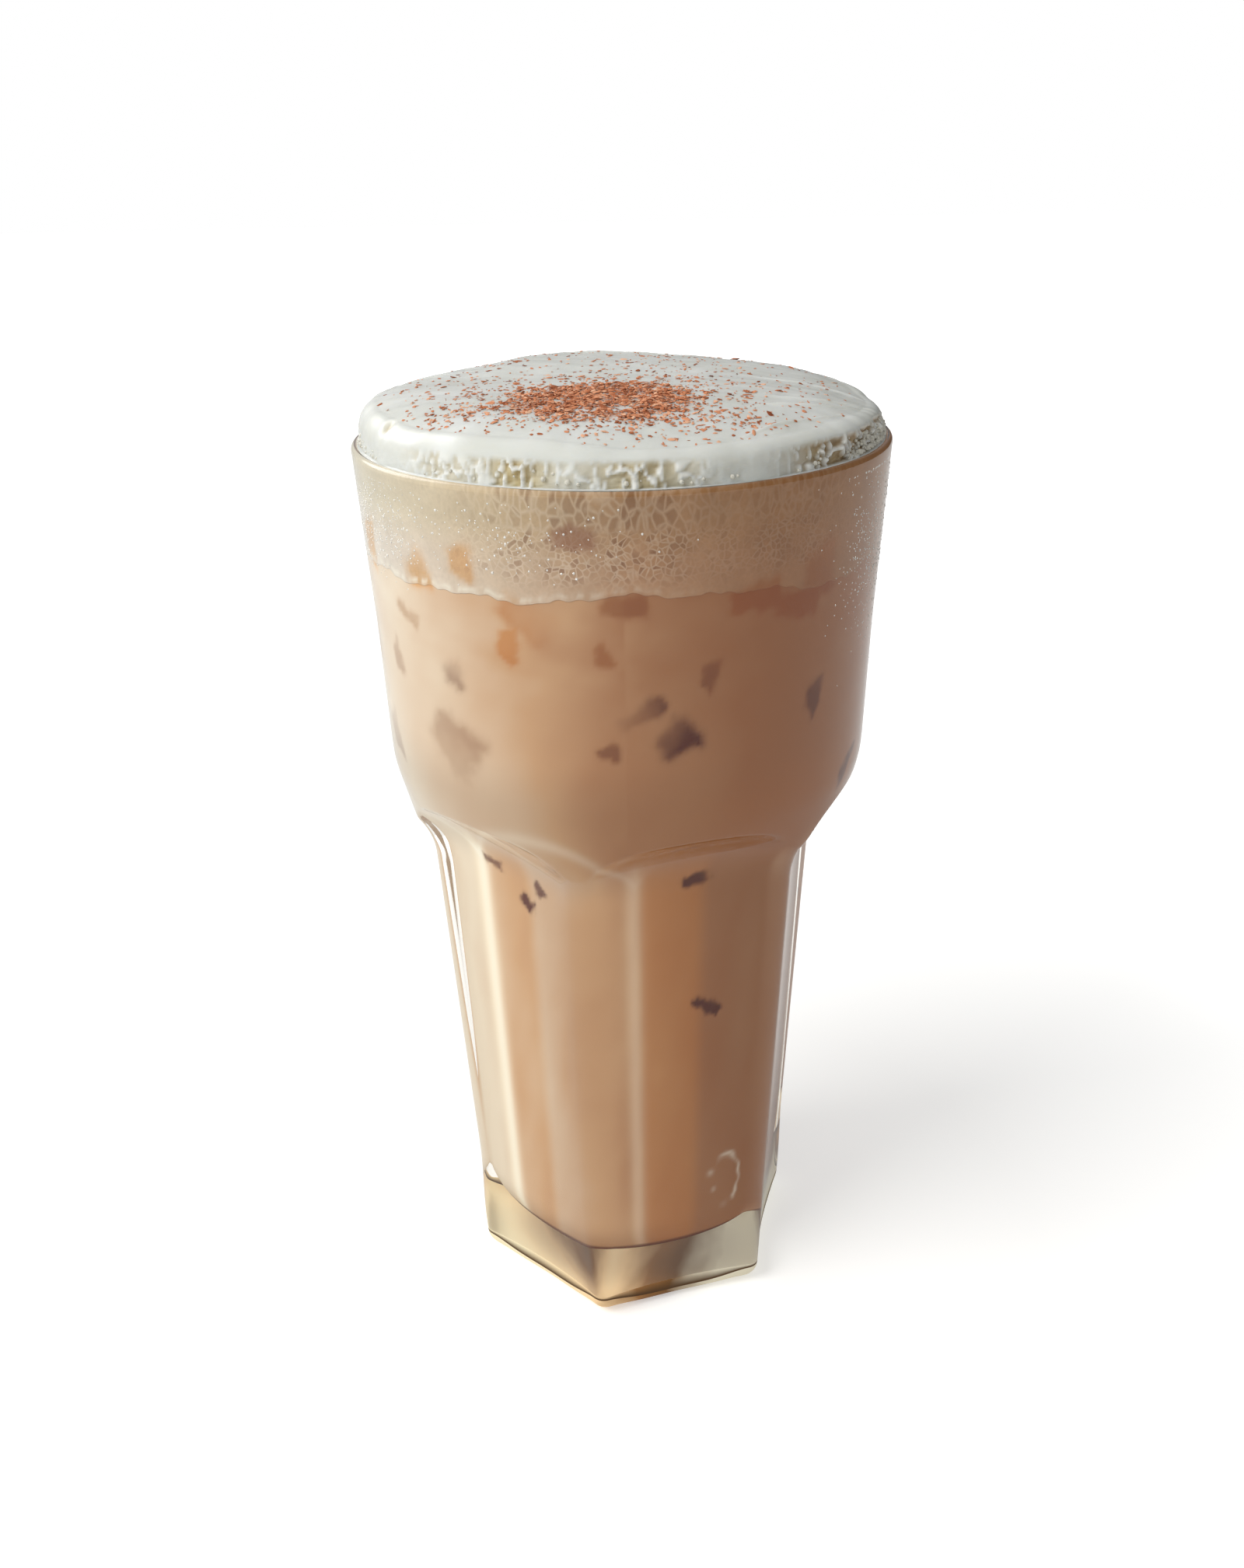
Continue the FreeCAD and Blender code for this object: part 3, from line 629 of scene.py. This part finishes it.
def milk_froth():
    """Frothed milk stained with tea: fine foam with patches of larger bubbles behind the glass, painted paler
    to -X and browner to +X, as milk and as painted light and shade.

    The large bubbles are about 1 to 2 mm across with pale thin walls, a few of them dark; right under the rim
    they are drawn out into upright cells. Higher up the foam is yellower.
    """
    material, tree = new_material("milk_froth")
    marks = {name: add_node(tree, "Attribute", attribute_name=name).outputs["Fac"]
             for name in ("milk_and_side_light", "high", "cells", "tall_cells", "ice_amber", "ice_dark", "lace_and_side_light")}
    in_mm = object_mm(tree)
    drift = add_node(tree, "TexNoise", {"Vector": in_mm, "Scale": 0.3, "Detail": 1.0}).outputs["Color"]
    bent = add_node(tree, "VectorMath", {0: drift, 1: (1.6, 1.6, 1.6), 2: in_mm},
                    operation="MULTIPLY_ADD").outputs[0]
    tall = add_node(tree, "Mapping", {"Vector": bent, "Scale": (1.0, 1.0, 0.5)}).outputs[0]
    cloud = add_node(tree, "TexNoise", {"Vector": in_mm, "Scale": 0.16, "Detail": 2.0}).outputs["Fac"]
    fine = add_node(tree, "TexNoise", {"Vector": in_mm, "Scale": 1.7, "Detail": 2.0}).outputs["Fac"]
    # Painted light and shade as well as milk: browner to +X, away from the lamp, paler to -X.
    tone = add_node(tree, "ValToRGB", {"Fac": marks["milk_and_side_light"]}, (
        (0.0, "#a97852"), (0.3, "#b68d6b"), (0.62, "#ccb8a0"), (1.0, "#dbd5ca"))).outputs["Color"]
    tone = layered(tree, tone, (marks["high"], (1.03, 1.01, 1.04), (0.97, 0.96, 0.88)),
                   (cloud, (0.84, 0.81, 0.78), (1.14, 1.13, 1.13)))
    for mark, vector, scale, width in (("cells", bent, 1.0, 0.15), ("tall_cells", tall, 0.8, 0.2)):
        cells = {"Vector": vector, "Scale": scale}
        edge = add_node(tree, "TexVoronoi", cells, feature="DISTANCE_TO_EDGE").outputs["Distance"]
        wall = add_node(tree, "MapRange", {"Value": edge, "From Min": 0.01, "From Max": width,
                                           "To Min": 1.0, "To Max": 0.0}).outputs[0]
        pick = add_node(tree, "TexVoronoi", cells).outputs["Color"]
        dim = add_node(tree, "MapRange", {"Value": pick, "From Min": 0.45, "From Max": 0.8}).outputs[0]
        pale = layered(tree, tone, (0.2, "#f4eadb"))
        celled = layered(tree, tone, (dim, (0.90, 0.86, 0.80), (0.58, 0.48, 0.42)), (wall, pale))
        tone = layered(tree, tone, (marks[mark], celled))
    # The lace is pale milk painted only on the lit side to -X: milk and painted light.
    tone = layered(tree, tone, (fine, (0.88, 0.88, 0.88), (1.10, 1.10, 1.10)),
                   (marks["ice_amber"], UNCHANGED, (0.93, 0.66, 0.38)), (marks["ice_dark"], "#8d5c42"),
                   (marks["lace_and_side_light"], "#eee6d8"))
    surface = add_node(tree, "BsdfPrincipled", {"Base Color": tone, **BEHIND_GLASS})
    add_node(tree, "OutputMaterial", {"Surface": surface.outputs[0]})
    return material


# ---------------------------------------------------------------- whipped cream

def cream_height(x, y):
    """Height of the cream over a point: a full dome, fuller to -X, with slow folds, a step and creases.

    The creases are thin glossy ridges that run out to the side of the dome, each a bell across its line.
    """
    distance = np.minimum(np.hypot(x, y), CREAM_RADIUS)
    share = distance / (CREAM_RADIUS + 1.5)
    dome = (1.0 - share ** (3.9 - 1.1 * x / CREAM_RADIUS)) ** 0.45
    swell = np.exp(-np.hypot((x - 20.0) / 13.0, (y - 28.0) / 9.0) ** 2)
    lean = (1.0 - 0.045 * x / CREAM_RADIUS + 0.075 * swell) / 1.045
    folds = np.sin(x / 9.0 + 0.6 * np.sin(y / 8.0)) * np.cos(y / 11.0 + 0.4) * share
    step = smooth_step(-29.0, -23.0, x - 0.25 * y) * smooth_step(2.0, 16.0, y)
    height = CREAM_EDGE + ((CREAM_TOP - CREAM_EDGE - 1.1) * lean + 0.7 * folds + 0.75 * step) * dome
    crease = 0.0
    for ahead, offset, slope, start in ((30.0, -12.5, 0.28, 20.0), (26.0, -26.0, 0.95, 14.0),
                                        (28.0, 2.0, -0.35, 19.0), (24.0, -19.0, 0.5, 17.0),
                                        (-30.0, 14.0, 0.4, 22.0), (4.0, 31.0, 0.1, -14.0)):
        along = x * np.sign(ahead)
        line = y - offset - slope * (x - ahead) - 0.5 * np.sin(x / 2.7 + offset)
        crease = crease + 0.32 * bump(line, 0.0, 0.45) * smooth_step(start, start + 9.0, along)
    crease = crease * (1.0 - smooth_step(37.0, 41.0, distance))
    return height + crease + 0.14 * waves(x, y, 13.0, 5)


# Stretches of torn, bubbly edge round the cream: azimuth, half width, depth
TORN_EDGE = ((-21.0, 7.0, 1.0), (-38.0, 9.0, 0.5), (3.0, 11.0, 0.85), (47.0, 11.0, 1.0), (68.0, 18.0, 1.0),
             (112.0, 12.0, 0.8), (150.0, 9.0, 0.6), (200.0, 14.0, 0.9), (236.0, 9.0, 0.5), (262.0, 8.0, 0.6))

# Rows of the cream inside the glass, from the lip to the underside: distance from the axis, height
CREAM_INSIDE = ((43.3, RIM_HEIGHT), (43.3, 159.7), (43.25, 159.45), (43.0, 159.3), (30.0, CREAM_UNDER))
# A small dimple near the cream's edge, to -X: x and y
DIMPLE = (-35.5, -21.0)


def torn_share(azimuth):
    """How torn the cream's edge is at an azimuth, between 0 and 1."""
    torn = sum(depth * bump(turned(azimuth, middle), 0.0, width) for middle, width, depth in TORN_EDGE)
    return np.clip(torn, 0.0, 1.0)


def nearest_cells(azimuth, height):
    """Gap between the nearest and second nearest of scattered bubbles in the cream's side, in millimetres.

    Each bubble is drawn out upwards, and small ones lie between large ones.
    """
    draw = np.random.default_rng(12)
    count = 300
    middle = draw.uniform(0.0, 360.0, count)
    level = draw.uniform(160.0, 164.2, count)
    size = draw.uniform(0.0, 1.3, count) ** 1.5
    shape = azimuth.shape
    best, second = np.full(shape, 1e3), np.full(shape, 1e3)
    for place, up, grown in zip(middle, level, size):
        side = CREAM_RADIUS * np.radians(turned(azimuth, place))
        apart = np.hypot(side * 1.25, (height - up) * 0.75) - grown
        second = np.minimum(second, np.maximum(best, apart))
        best = np.minimum(best, apart)
    return second - best


def make_cream(material):
    """The cream cap: dome, rounded shoulder, lumpy torn side on the lip, and the part inside the mouth."""
    azimuth = np.arange(CREAM_COLUMNS) * 360.0 / CREAM_COLUMNS
    turn = np.radians(azimuth)
    shoulder = CREAM_RADIUS - 3.3 + 0.3 * np.sin(5.0 * turn + 0.5) + 0.22 * np.sin(9.0 * turn + 1.1)
    top = np.concatenate([np.linspace(0.02, 0.6, 40), np.linspace(0.612, 1.0, 56)])
    radius = [shoulder * share for share in top]
    height = [cream_height(ring * np.sin(turn), -ring * np.cos(turn)) for ring in radius]
    start = height[-1]
    torn = torn_share(azimuth)
    front = bump(turned(azimuth, 5.0), 0.0, 75.0)
    rest = CREAM_REST + 0.25 * front + 0.1 * np.sin(13.0 * turn + 2.0) + 0.08 * np.sin(29.0 * turn)
    bulge = rest - 0.25
    brow = CREAM_BROW + 0.3 * np.sin(7.0 * turn + 0.3)
    for angle in np.radians(np.linspace(7.0, 90.0, 16)):
        radius.append(shoulder + (bulge - shoulder) * math.sin(angle))
        height.append(start - (start - brow) * (1.0 - math.cos(angle)))
    for share in np.linspace(0.08, 1.0, 14):
        radius.append(bulge + (rest - bulge) * share)
        height.append(brow - (brow - CREAM_REST_HEIGHT) * share)
    for distance, level in CREAM_INSIDE:
        radius.append(np.full(turn.shape, distance))
        height.append(np.full(turn.shape, level))
    radius, height = np.array(radius), np.array(height)
    across = np.broadcast_to(azimuth, height.shape)
    gap = nearest_cells(across, height)
    side_part = smooth_step(shoulder - 0.3, shoulder + 0.5, radius) * (height > RIM_HEIGHT + 0.06)
    side_part = side_part * (1.0 - smooth_step(162.9, 164.2, height))
    hollow = smooth_step(0.12, 0.5, gap) * torn[None, :] * side_part
    ridge = (1.0 - smooth_step(0.0, 0.28, gap)) * torn[None, :] * side_part
    radius = radius - 0.8 * hollow
    lumps = 0.25 * waves(across * 0.74, height, 3.4, 8) + 0.12 * waves(across * 0.74, height, 1.4, 9)
    radius = radius + (np.minimum(lumps, 0.25) - 0.1) * side_part * (0.2 + 0.8 * torn[None, :])
    x, y = radius * np.sin(turn), -radius * np.cos(turn)
    dimple = bump(np.hypot(x - DIMPLE[0], y - DIMPLE[1]), 0.0, 0.9)
    height = height - 0.9 * dimple
    marks = {"pocket": np.maximum(hollow, 0.6 * dimple), "strand": ridge,
             "powder": powder_density(x, y) * (height > 163.0)}
    cream = add_rings("cream", radius[::-1], height[::-1], CREAM_UNDER,
                      float(cream_height(np.zeros(1), np.zeros(1))[0]), azimuth,
                      {name: values[::-1] for name, values in marks.items()})
    cream.data.materials.append(material)
    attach(cream, "root")
    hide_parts("cream_cap")


def whipped_cream():
    """Softly whipped cream: almost white with a faint green-grey, satin gloss, stained by the cocoa on it.

    The pockets in its torn side are butter-coloured, painted browner to +X as shade on the side away from the
    lamp.
    """
    material, tree = new_material("whipped_cream")
    marks = {name: add_node(tree, "Attribute", attribute_name=name).outputs["Fac"]
             for name in ("pocket", "strand", "powder")}
    in_mm = object_mm(tree)
    cloudy = add_node(tree, "TexNoise", {"Vector": in_mm, "Scale": 0.09, "Detail": 2.0}).outputs["Fac"]
    across = add_node(tree, "SeparateXYZ", {"Vector": in_mm}).outputs["X"]
    # Painted shade: the pockets darken towards +X, the side away from the lamp.
    shaded = add_node(tree, "MapRange", {"Value": across, "From Min": 10.0, "From Max": 34.0}).outputs[0]
    dusting = add_node(tree, "TexNoise", {"Vector": in_mm, "Scale": 0.9, "Detail": 3.0}).outputs["Fac"]
    powder = add_node(tree, "Math", {0: marks["powder"], 1: dusting}, operation="MULTIPLY").outputs[0]
    stain = add_node(tree, "MapRange", {"Value": powder, "From Min": 0.16, "From Max": 0.5,
                                        "To Min": 0.0, "To Max": 0.65}).outputs[0]
    tone = add_node(tree, "ValToRGB", {"Fac": cloudy}, ((0.3, "#cbcdc6"), (0.7, "#d5d7d3"))).outputs["Color"]
    inside = layered(tree, linear("#c6b68c"), (shaded, "#ab9370"))
    tone = layered(tree, tone, (marks["pocket"], inside), (marks["strand"], "#eeece2"), (stain, "#d8a385"))
    foam = add_node(tree, "TexNoise", {"Vector": in_mm, "Scale": 0.7, "Detail": 2.0}).outputs["Fac"]
    relief = add_node(tree, "Bump", {"Height": foam, "Strength": 0.12, "Distance": 0.0004}).outputs[0]
    surface = add_node(tree, "BsdfPrincipled", {
        "Base Color": tone, "Roughness": 0.27, "IOR": 1.45, "Normal": relief,
        "Subsurface Weight": 0.6, "Subsurface Radius": (1.0, 0.9, 0.75), "Subsurface Scale": 0.004})
    add_node(tree, "OutputMaterial", {"Surface": surface.outputs[0]})
    return material


# ---------------------------------------------------------------- cocoa

def powder_density(x, y):
    """Share of the surface under cocoa: a dense oval off the middle with two trails, thinning out around."""
    oval = np.hypot((x + 3.0) / 15.5, (y + 17.0) / 15.5)
    core = (1.0 - smooth_step(0.62, 1.12, oval)) * np.clip(0.72 + 0.75 * waves(x, y, 5.5, 51), 0.12, 1.0)
    halo = 0.13 * np.exp(-(np.maximum(oval - 0.9, 0.0) / 0.55) ** 1.3)
    left = 0.17 * bump(y + 22.0 - 0.3 * (x + 22.0), 0.0, 5.0) * bump(x, -24.0, 8.0)
    right = 0.15 * bump(y + 27.0 + 0.2 * (x - 16.0), 0.0, 4.0) * bump(x, 15.0, 8.0)
    far = 0.022 * (1.0 - smooth_step(34.0, 40.0, np.hypot(x, y)))
    bare = bump(x, -5.0, 1.6) * bump(y, -28.0, 2.0) + bump(x, 0.5, 1.8) * bump(y, -24.0, 2.0)
    return np.clip((core + halo + left + right + far) * (1.0 - np.clip(bare, 0.0, 1.0)), 0.0, 1.0)


def icosahedron():
    """Corners on the unit sphere and outward faces of an icosahedron."""
    golden = (1.0 + math.sqrt(5.0)) / 2.0
    solid = np.array([(-1, golden, 0), (1, golden, 0), (-1, -golden, 0), (1, -golden, 0),
                      (0, -1, golden), (0, 1, golden), (0, -1, -golden), (0, 1, -golden),
                      (golden, 0, -1), (golden, 0, 1), (-golden, 0, -1), (-golden, 0, 1)])
    sides = np.array([(0, 11, 5), (0, 5, 1), (0, 1, 7), (0, 7, 10), (0, 10, 11), (1, 5, 9), (5, 11, 4),
                      (11, 10, 2), (10, 7, 6), (7, 1, 8), (3, 9, 4), (3, 4, 2), (3, 2, 6), (3, 6, 8),
                      (3, 8, 9), (4, 9, 5), (2, 4, 11), (6, 2, 10), (8, 6, 7), (9, 8, 1)])
    return solid / math.hypot(1.0, golden), sides


# Cocoa: how many places are tried, how many of them stay where it lies thickest, and how far it reaches
COCOA_TRIES, COCOA_SHARE, COCOA_REACH = 90000, 0.46, 40.0


def make_cocoa(material):
    """Cocoa flakes and grains: jittered icosahedra flattened and laid on the cream at random turns."""
    solid, sides = icosahedron()
    draw = np.random.default_rng(21)
    x, y = draw.uniform(-COCOA_REACH, COCOA_REACH, (2, COCOA_TRIES))
    kept = draw.uniform(0.0, 1.0, x.shape) < powder_density(x, y) * COCOA_SHARE
    kept = kept & (np.hypot(x, y) < COCOA_REACH)
    x, y = x[kept], y[kept]
    count = len(x)
    size = 0.1 + 0.34 * draw.beta(1.2, 3.4, count) + 0.16 * draw.uniform(0.0, 1.0, count) ** 8
    stretch = draw.uniform(1.0, 2.4, count)
    thin = draw.uniform(0.22, 0.42, count)
    yaw = draw.uniform(0.0, 2.0 * np.pi, count)
    tip, lean = draw.normal(0.0, 0.16, count), draw.normal(0.0, 0.16, count)
    points = solid[None] * (1.0 + draw.uniform(-0.28, 0.28, (count, 12, 1)))
    points = points * np.stack([size * stretch, size, size * thin], axis=-1)[:, None, :]
    points[..., 2] += points[..., 0] * np.tan(tip)[:, None] + points[..., 1] * np.tan(lean)[:, None]
    spun = np.stack([points[..., 0] * np.cos(yaw)[:, None] - points[..., 1] * np.sin(yaw)[:, None],
                     points[..., 0] * np.sin(yaw)[:, None] + points[..., 1] * np.cos(yaw)[:, None],
                     points[..., 2]], axis=-1)
    pile = powder_density(x, y) * draw.uniform(0.0, 0.35, count)
    base = np.stack([x, y, cream_height(x, y) + size * thin * 0.35 + pile], axis=-1)
    slope = np.stack([cream_height(x + 0.5, y) - cream_height(x - 0.5, y),
                      cream_height(x, y + 0.5) - cream_height(x, y - 0.5)], axis=-1)
    spun[..., 2] += spun[..., 0] * slope[:, None, 0] + spun[..., 1] * slope[:, None, 1]
    placed = (spun + base[:, None, :]).reshape(-1, 3)
    faces = (sides[None] + 12 * np.arange(count)[:, None, None]).reshape(-1, 3)
    tone = np.repeat(draw.uniform(0.0, 1.0, count), 12)
    cocoa = add_mesh("cocoa", placed, [faces], {"tone": tone}, smooth=False)
    cocoa.data.materials.append(material)
    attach(cocoa, "root")


def cocoa_powder():
    """Red-brown cocoa: matte and dusty, each flake a little lighter or darker than the next."""
    material, tree = new_material("cocoa_powder")
    mark = add_node(tree, "Attribute", attribute_name="tone").outputs["Fac"]
    tone = add_node(tree, "ValToRGB", {"Fac": mark}, (
        (0.0, "#86492f"), (0.35, "#bd7753"), (0.75, "#d18f6b"), (1.0, "#e6b898"))).outputs["Color"]
    surface = add_node(tree, "BsdfPrincipled", {
        "Base Color": tone, "Roughness": 0.9, "Specular IOR Level": 0.2})
    add_node(tree, "OutputMaterial", {"Surface": surface.outputs[0]})
    return material


# ---------------------------------------------------------------- drops and bubbles

def add_beads(name, azimuth, radius, height, size, flat, material):
    """Many small rounded beads on a wall: unit icosahedra scaled by size, and by flat away from the wall."""
    solid, sides = icosahedron()
    turn = np.radians(azimuth)[:, None]
    out = solid[None, :, 0] * (size * flat)[:, None]
    side = solid[None, :, 1] * size[:, None]
    distance = radius[:, None] + out
    points = np.stack([distance * np.sin(turn) + side * np.cos(turn),
                       -distance * np.cos(turn) + side * np.sin(turn),
                       height[:, None] + solid[None, :, 2] * size[:, None]], axis=-1)
    faces = (sides[None] + 12 * np.arange(len(azimuth))[:, None, None]).reshape(-1, 3)
    beads = add_mesh(name, points.reshape(-1, 3), [faces])
    beads.data.materials.append(material)
    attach(beads, "root")


# Where mist gathers on the outside of the glass: azimuth, half width, middle height, half height, drops
MIST = ((-62.0, 15.0, 151.0, 6.0, 420), (66.0, 14.0, 146.0, 13.0, 620), (-30.0, 25.0, 152.0, 5.0, 160),
        (128.0, 30.0, 148.0, 10.0, 380), (226.0, 26.0, 146.0, 11.0, 340), (180.0, 60.0, 138.0, 17.0, 120))


def make_condensation(material):
    """Fine drops of condensed water outside, densest over the cold froth, half sunk into the wall."""
    draw = np.random.default_rng(33)
    azimuth, height = [], []
    for middle, half, level, spread, count in MIST:
        azimuth.append(draw.normal(middle, half * 0.6, count))
        height.append(np.clip(draw.normal(level, spread * 0.6, count), 104.0, 157.6))
    azimuth, height = np.concatenate(azimuth), np.concatenate(height)
    size = 0.09 + 0.22 * draw.beta(1.2, 4.0, len(azimuth))
    radius = np.minimum(outer_radius(azimuth, height), DROP_LIMIT - 0.5 * size)
    add_beads("condensation", azimuth, radius, height, size, 0.5, material)


def make_bubbles(material):
    """Soap-thin milk bubbles along the cream's edge, crowded at the right where the cream stops short."""
    draw = np.random.default_rng(34)
    azimuth = np.concatenate([draw.uniform(52.0, 98.0, 420), draw.normal(-88.0, 9.0, 110),
                              draw.normal(165.0, 22.0, 220), draw.uniform(0.0, 360.0, 160)])
    size = 0.16 + 0.5 * draw.beta(1.3, 3.5, len(azimuth))
    height = RIM_HEIGHT + 0.15 + size + draw.uniform(0.0, 1.0, len(azimuth)) ** 1.6 * 2.6
    radius = BUBBLE_RADIUS - 0.35 * (height - RIM_HEIGHT) + draw.uniform(-0.25, 0.15, len(azimuth))
    radius = np.minimum(radius, BUBBLE_LIMIT - size)
    add_beads("film_bubbles", azimuth, radius, height, size, 1.0, material)


def condensed_water():
    """Water in fine drops, smooth, IOR 1.33: only a third clear, so that drops this small still show."""
    material, tree = new_material("condensed_water")
    surface = add_node(tree, "BsdfPrincipled", {
        "Base Color": linear("#fbfaf6"), "Roughness": 0.08, "IOR": 1.33, "Transmission Weight": 0.35})
    add_node(tree, "OutputMaterial", {"Surface": surface.outputs[0]})
    return material


def milk_bubble():
    """A thin film of milk and water: a third clear, grey-white, glossy."""
    material, tree = new_material("milk_bubble_film")
    surface = add_node(tree, "BsdfPrincipled", {
        "Base Color": linear("#e6e3d8"), "Roughness": 0.12, "IOR": 1.33, "Transmission Weight": 0.35})
    add_node(tree, "OutputMaterial", {"Surface": surface.outputs[0]})
    return material


# ---------------------------------------------------------------- studio

# Half the floor's width and its level, just under the standing face
FLOOR_EDGE, FLOOR_LEVEL = 3000.0, -0.05
# Camera: place, angle down from level, roll, and focal length for a sensor SENSOR_WIDTH wide
CAMERA_PLACE = (-1.1, -261.5, 209.5)
CAMERA_DOWN, CAMERA_ROLL = 23.4, -1.17
SENSOR_WIDTH, FOCAL_LENGTH = 36.0, 35.98


def add_softbox(name, azimuth, elevation, distance, width, power, tint):
    """A square soft lamp at a direction from the glass, facing its middle."""
    lamp = bpy.data.lights.new(name, "AREA")
    lamp.size = width
    lamp.energy = power
    lamp.color = linear(tint)[:3]
    turn, rise = math.radians(azimuth), math.radians(elevation)
    place = Matrix.Rotation(turn, 4, "Z") @ Matrix.Rotation(math.radians(90.0) - rise, 4, "X")
    box = bpy.data.objects.new(name, lamp)
    box.matrix_world = Matrix.Translation((0.0, 0.0, 0.1)) @ place @ Matrix.Translation((0.0, 0.0, distance))
    box.visible_glossy = False
    bpy.context.scene.collection.objects.link(box)


def seen_plainly(tree):
    """The kinds of ray in a tree, and a socket that is 1 for rays from the camera and through glass."""
    ray = add_node(tree, "LightPath").outputs
    return ray, add_node(tree, "Math", {0: ray["Is Camera Ray"], 1: ray["Is Transmission Ray"]},
                         operation="MAXIMUM").outputs[0]


def make_world():
    """White surroundings for camera and glass, soft light from above, and a bright window for gloss."""
    world = bpy.data.worlds.new("studio")
    world.use_nodes = True
    tree = world.node_tree
    tree.nodes.clear()
    ray, seen = seen_plainly(tree)
    toward = add_node(tree, "TexCoord").outputs["Generated"]
    parts = []
    for direction, low, high, least, most in (((-0.78, 0.30, 0.55), 0.0, 0.9, 0.06, 0.95),
                                              ((-0.70, 0.50, 0.51), 0.9, 0.97, 0.0, 3.2),
                                              ((-0.2, 0.0, 0.98), -0.4, 1.0, 0.2, 0.62)):
        along = add_node(tree, "VectorMath", {0: toward, 1: direction}, operation="DOT_PRODUCT")
        parts.append(add_node(tree, "MapRange", {"Value": along.outputs["Value"], "From Min": low,
                                                 "From Max": high, "To Min": least,
                                                 "To Max": most}).outputs[0])
    side, window, above = parts
    gloss = add_node(tree, "Math", {0: side, 1: window}, operation="ADD").outputs[0]
    unseen = add_node(tree, "Mix", {0: ray["Is Glossy Ray"], 2: above, 3: gloss}, data_type="FLOAT")
    strength = add_node(tree, "Mix", {0: seen, 2: unseen.outputs[0], 3: 1.0}, data_type="FLOAT").outputs[0]
    back = add_node(tree, "Background", {"Color": (1.0, 1.0, 1.0, 1.0), "Strength": strength})
    add_node(tree, "OutputWorld", {"Surface": back.outputs[0]})
    bpy.context.scene.world = world


def make_floor():
    """A pale matt floor that takes the shadow and fades to white away from the glass."""
    material, tree = new_material("pale_floor")
    ray, seen = seen_plainly(tree)
    shiny = add_node(tree, "Math", {0: ray["Is Glossy Ray"], 1: 0.25}, operation="MULTIPLY").outputs[0]
    seen = add_node(tree, "Math", {0: seen, 1: shiny}, operation="MAXIMUM").outputs[0]
    place = add_node(tree, "TexCoord").outputs["Object"]
    far = add_node(tree, "VectorMath", {0: place}, operation="LENGTH").outputs["Value"]
    fade = add_node(tree, "MapRange", {"Value": far, "From Min": 0.08, "From Max": 0.45,
                                       "To Min": 0.42, "To Max": 1.0}).outputs[0]
    lift = add_node(tree, "Math", {0: seen, 1: fade}, operation="MULTIPLY").outputs[0]
    matt = add_node(tree, "BsdfDiffuse", {"Color": linear("#e0e0de")})
    shine = add_node(tree, "Emission", {"Color": (1.0, 1.0, 1.0, 1.0), "Strength": lift})
    both = add_node(tree, "AddShader", {0: matt.outputs[0], 1: shine.outputs[0]})
    add_node(tree, "OutputMaterial", {"Surface": both.outputs[0]})
    corners = np.array([(x * FLOOR_EDGE, y * FLOOR_EDGE, FLOOR_LEVEL)
                        for x, y in ((-1, -1), (1, -1), (1, 1), (-1, 1))])
    floor = add_mesh("floor", corners, [np.array([[0, 1, 2, 3]])], smooth=False)
    floor.data.materials.append(material)


def make_camera():
    """A camera a little above the rim, looking down on the drink."""
    camera = bpy.data.cameras.new("camera")
    camera.sensor_width = SENSOR_WIDTH
    camera.lens = FOCAL_LENGTH
    view = bpy.data.objects.new("camera", camera)
    view.matrix_world = (Matrix.Translation([length * MM for length in CAMERA_PLACE])
                         @ Matrix.Rotation(math.radians(90.0 - CAMERA_DOWN), 4, "X")
                         @ Matrix.Rotation(math.radians(CAMERA_ROLL), 4, "Z"))
    bpy.context.scene.collection.objects.link(view)
    bpy.context.scene.camera = view
    bpy.context.scene.view_settings.view_transform = "Standard"


make_tumbler(pressed_glass(), glass_underside())
make_tea(milk_tea())
make_froth(milk_froth())
make_cream(whipped_cream())
make_cocoa(cocoa_powder())
make_condensation(condensed_water())
make_bubbles(milk_bubble())
make_world()
make_floor()
add_softbox("window", -62.0, 42.0, 0.95, 0.6, 7.5, "#fffefc")
make_camera()
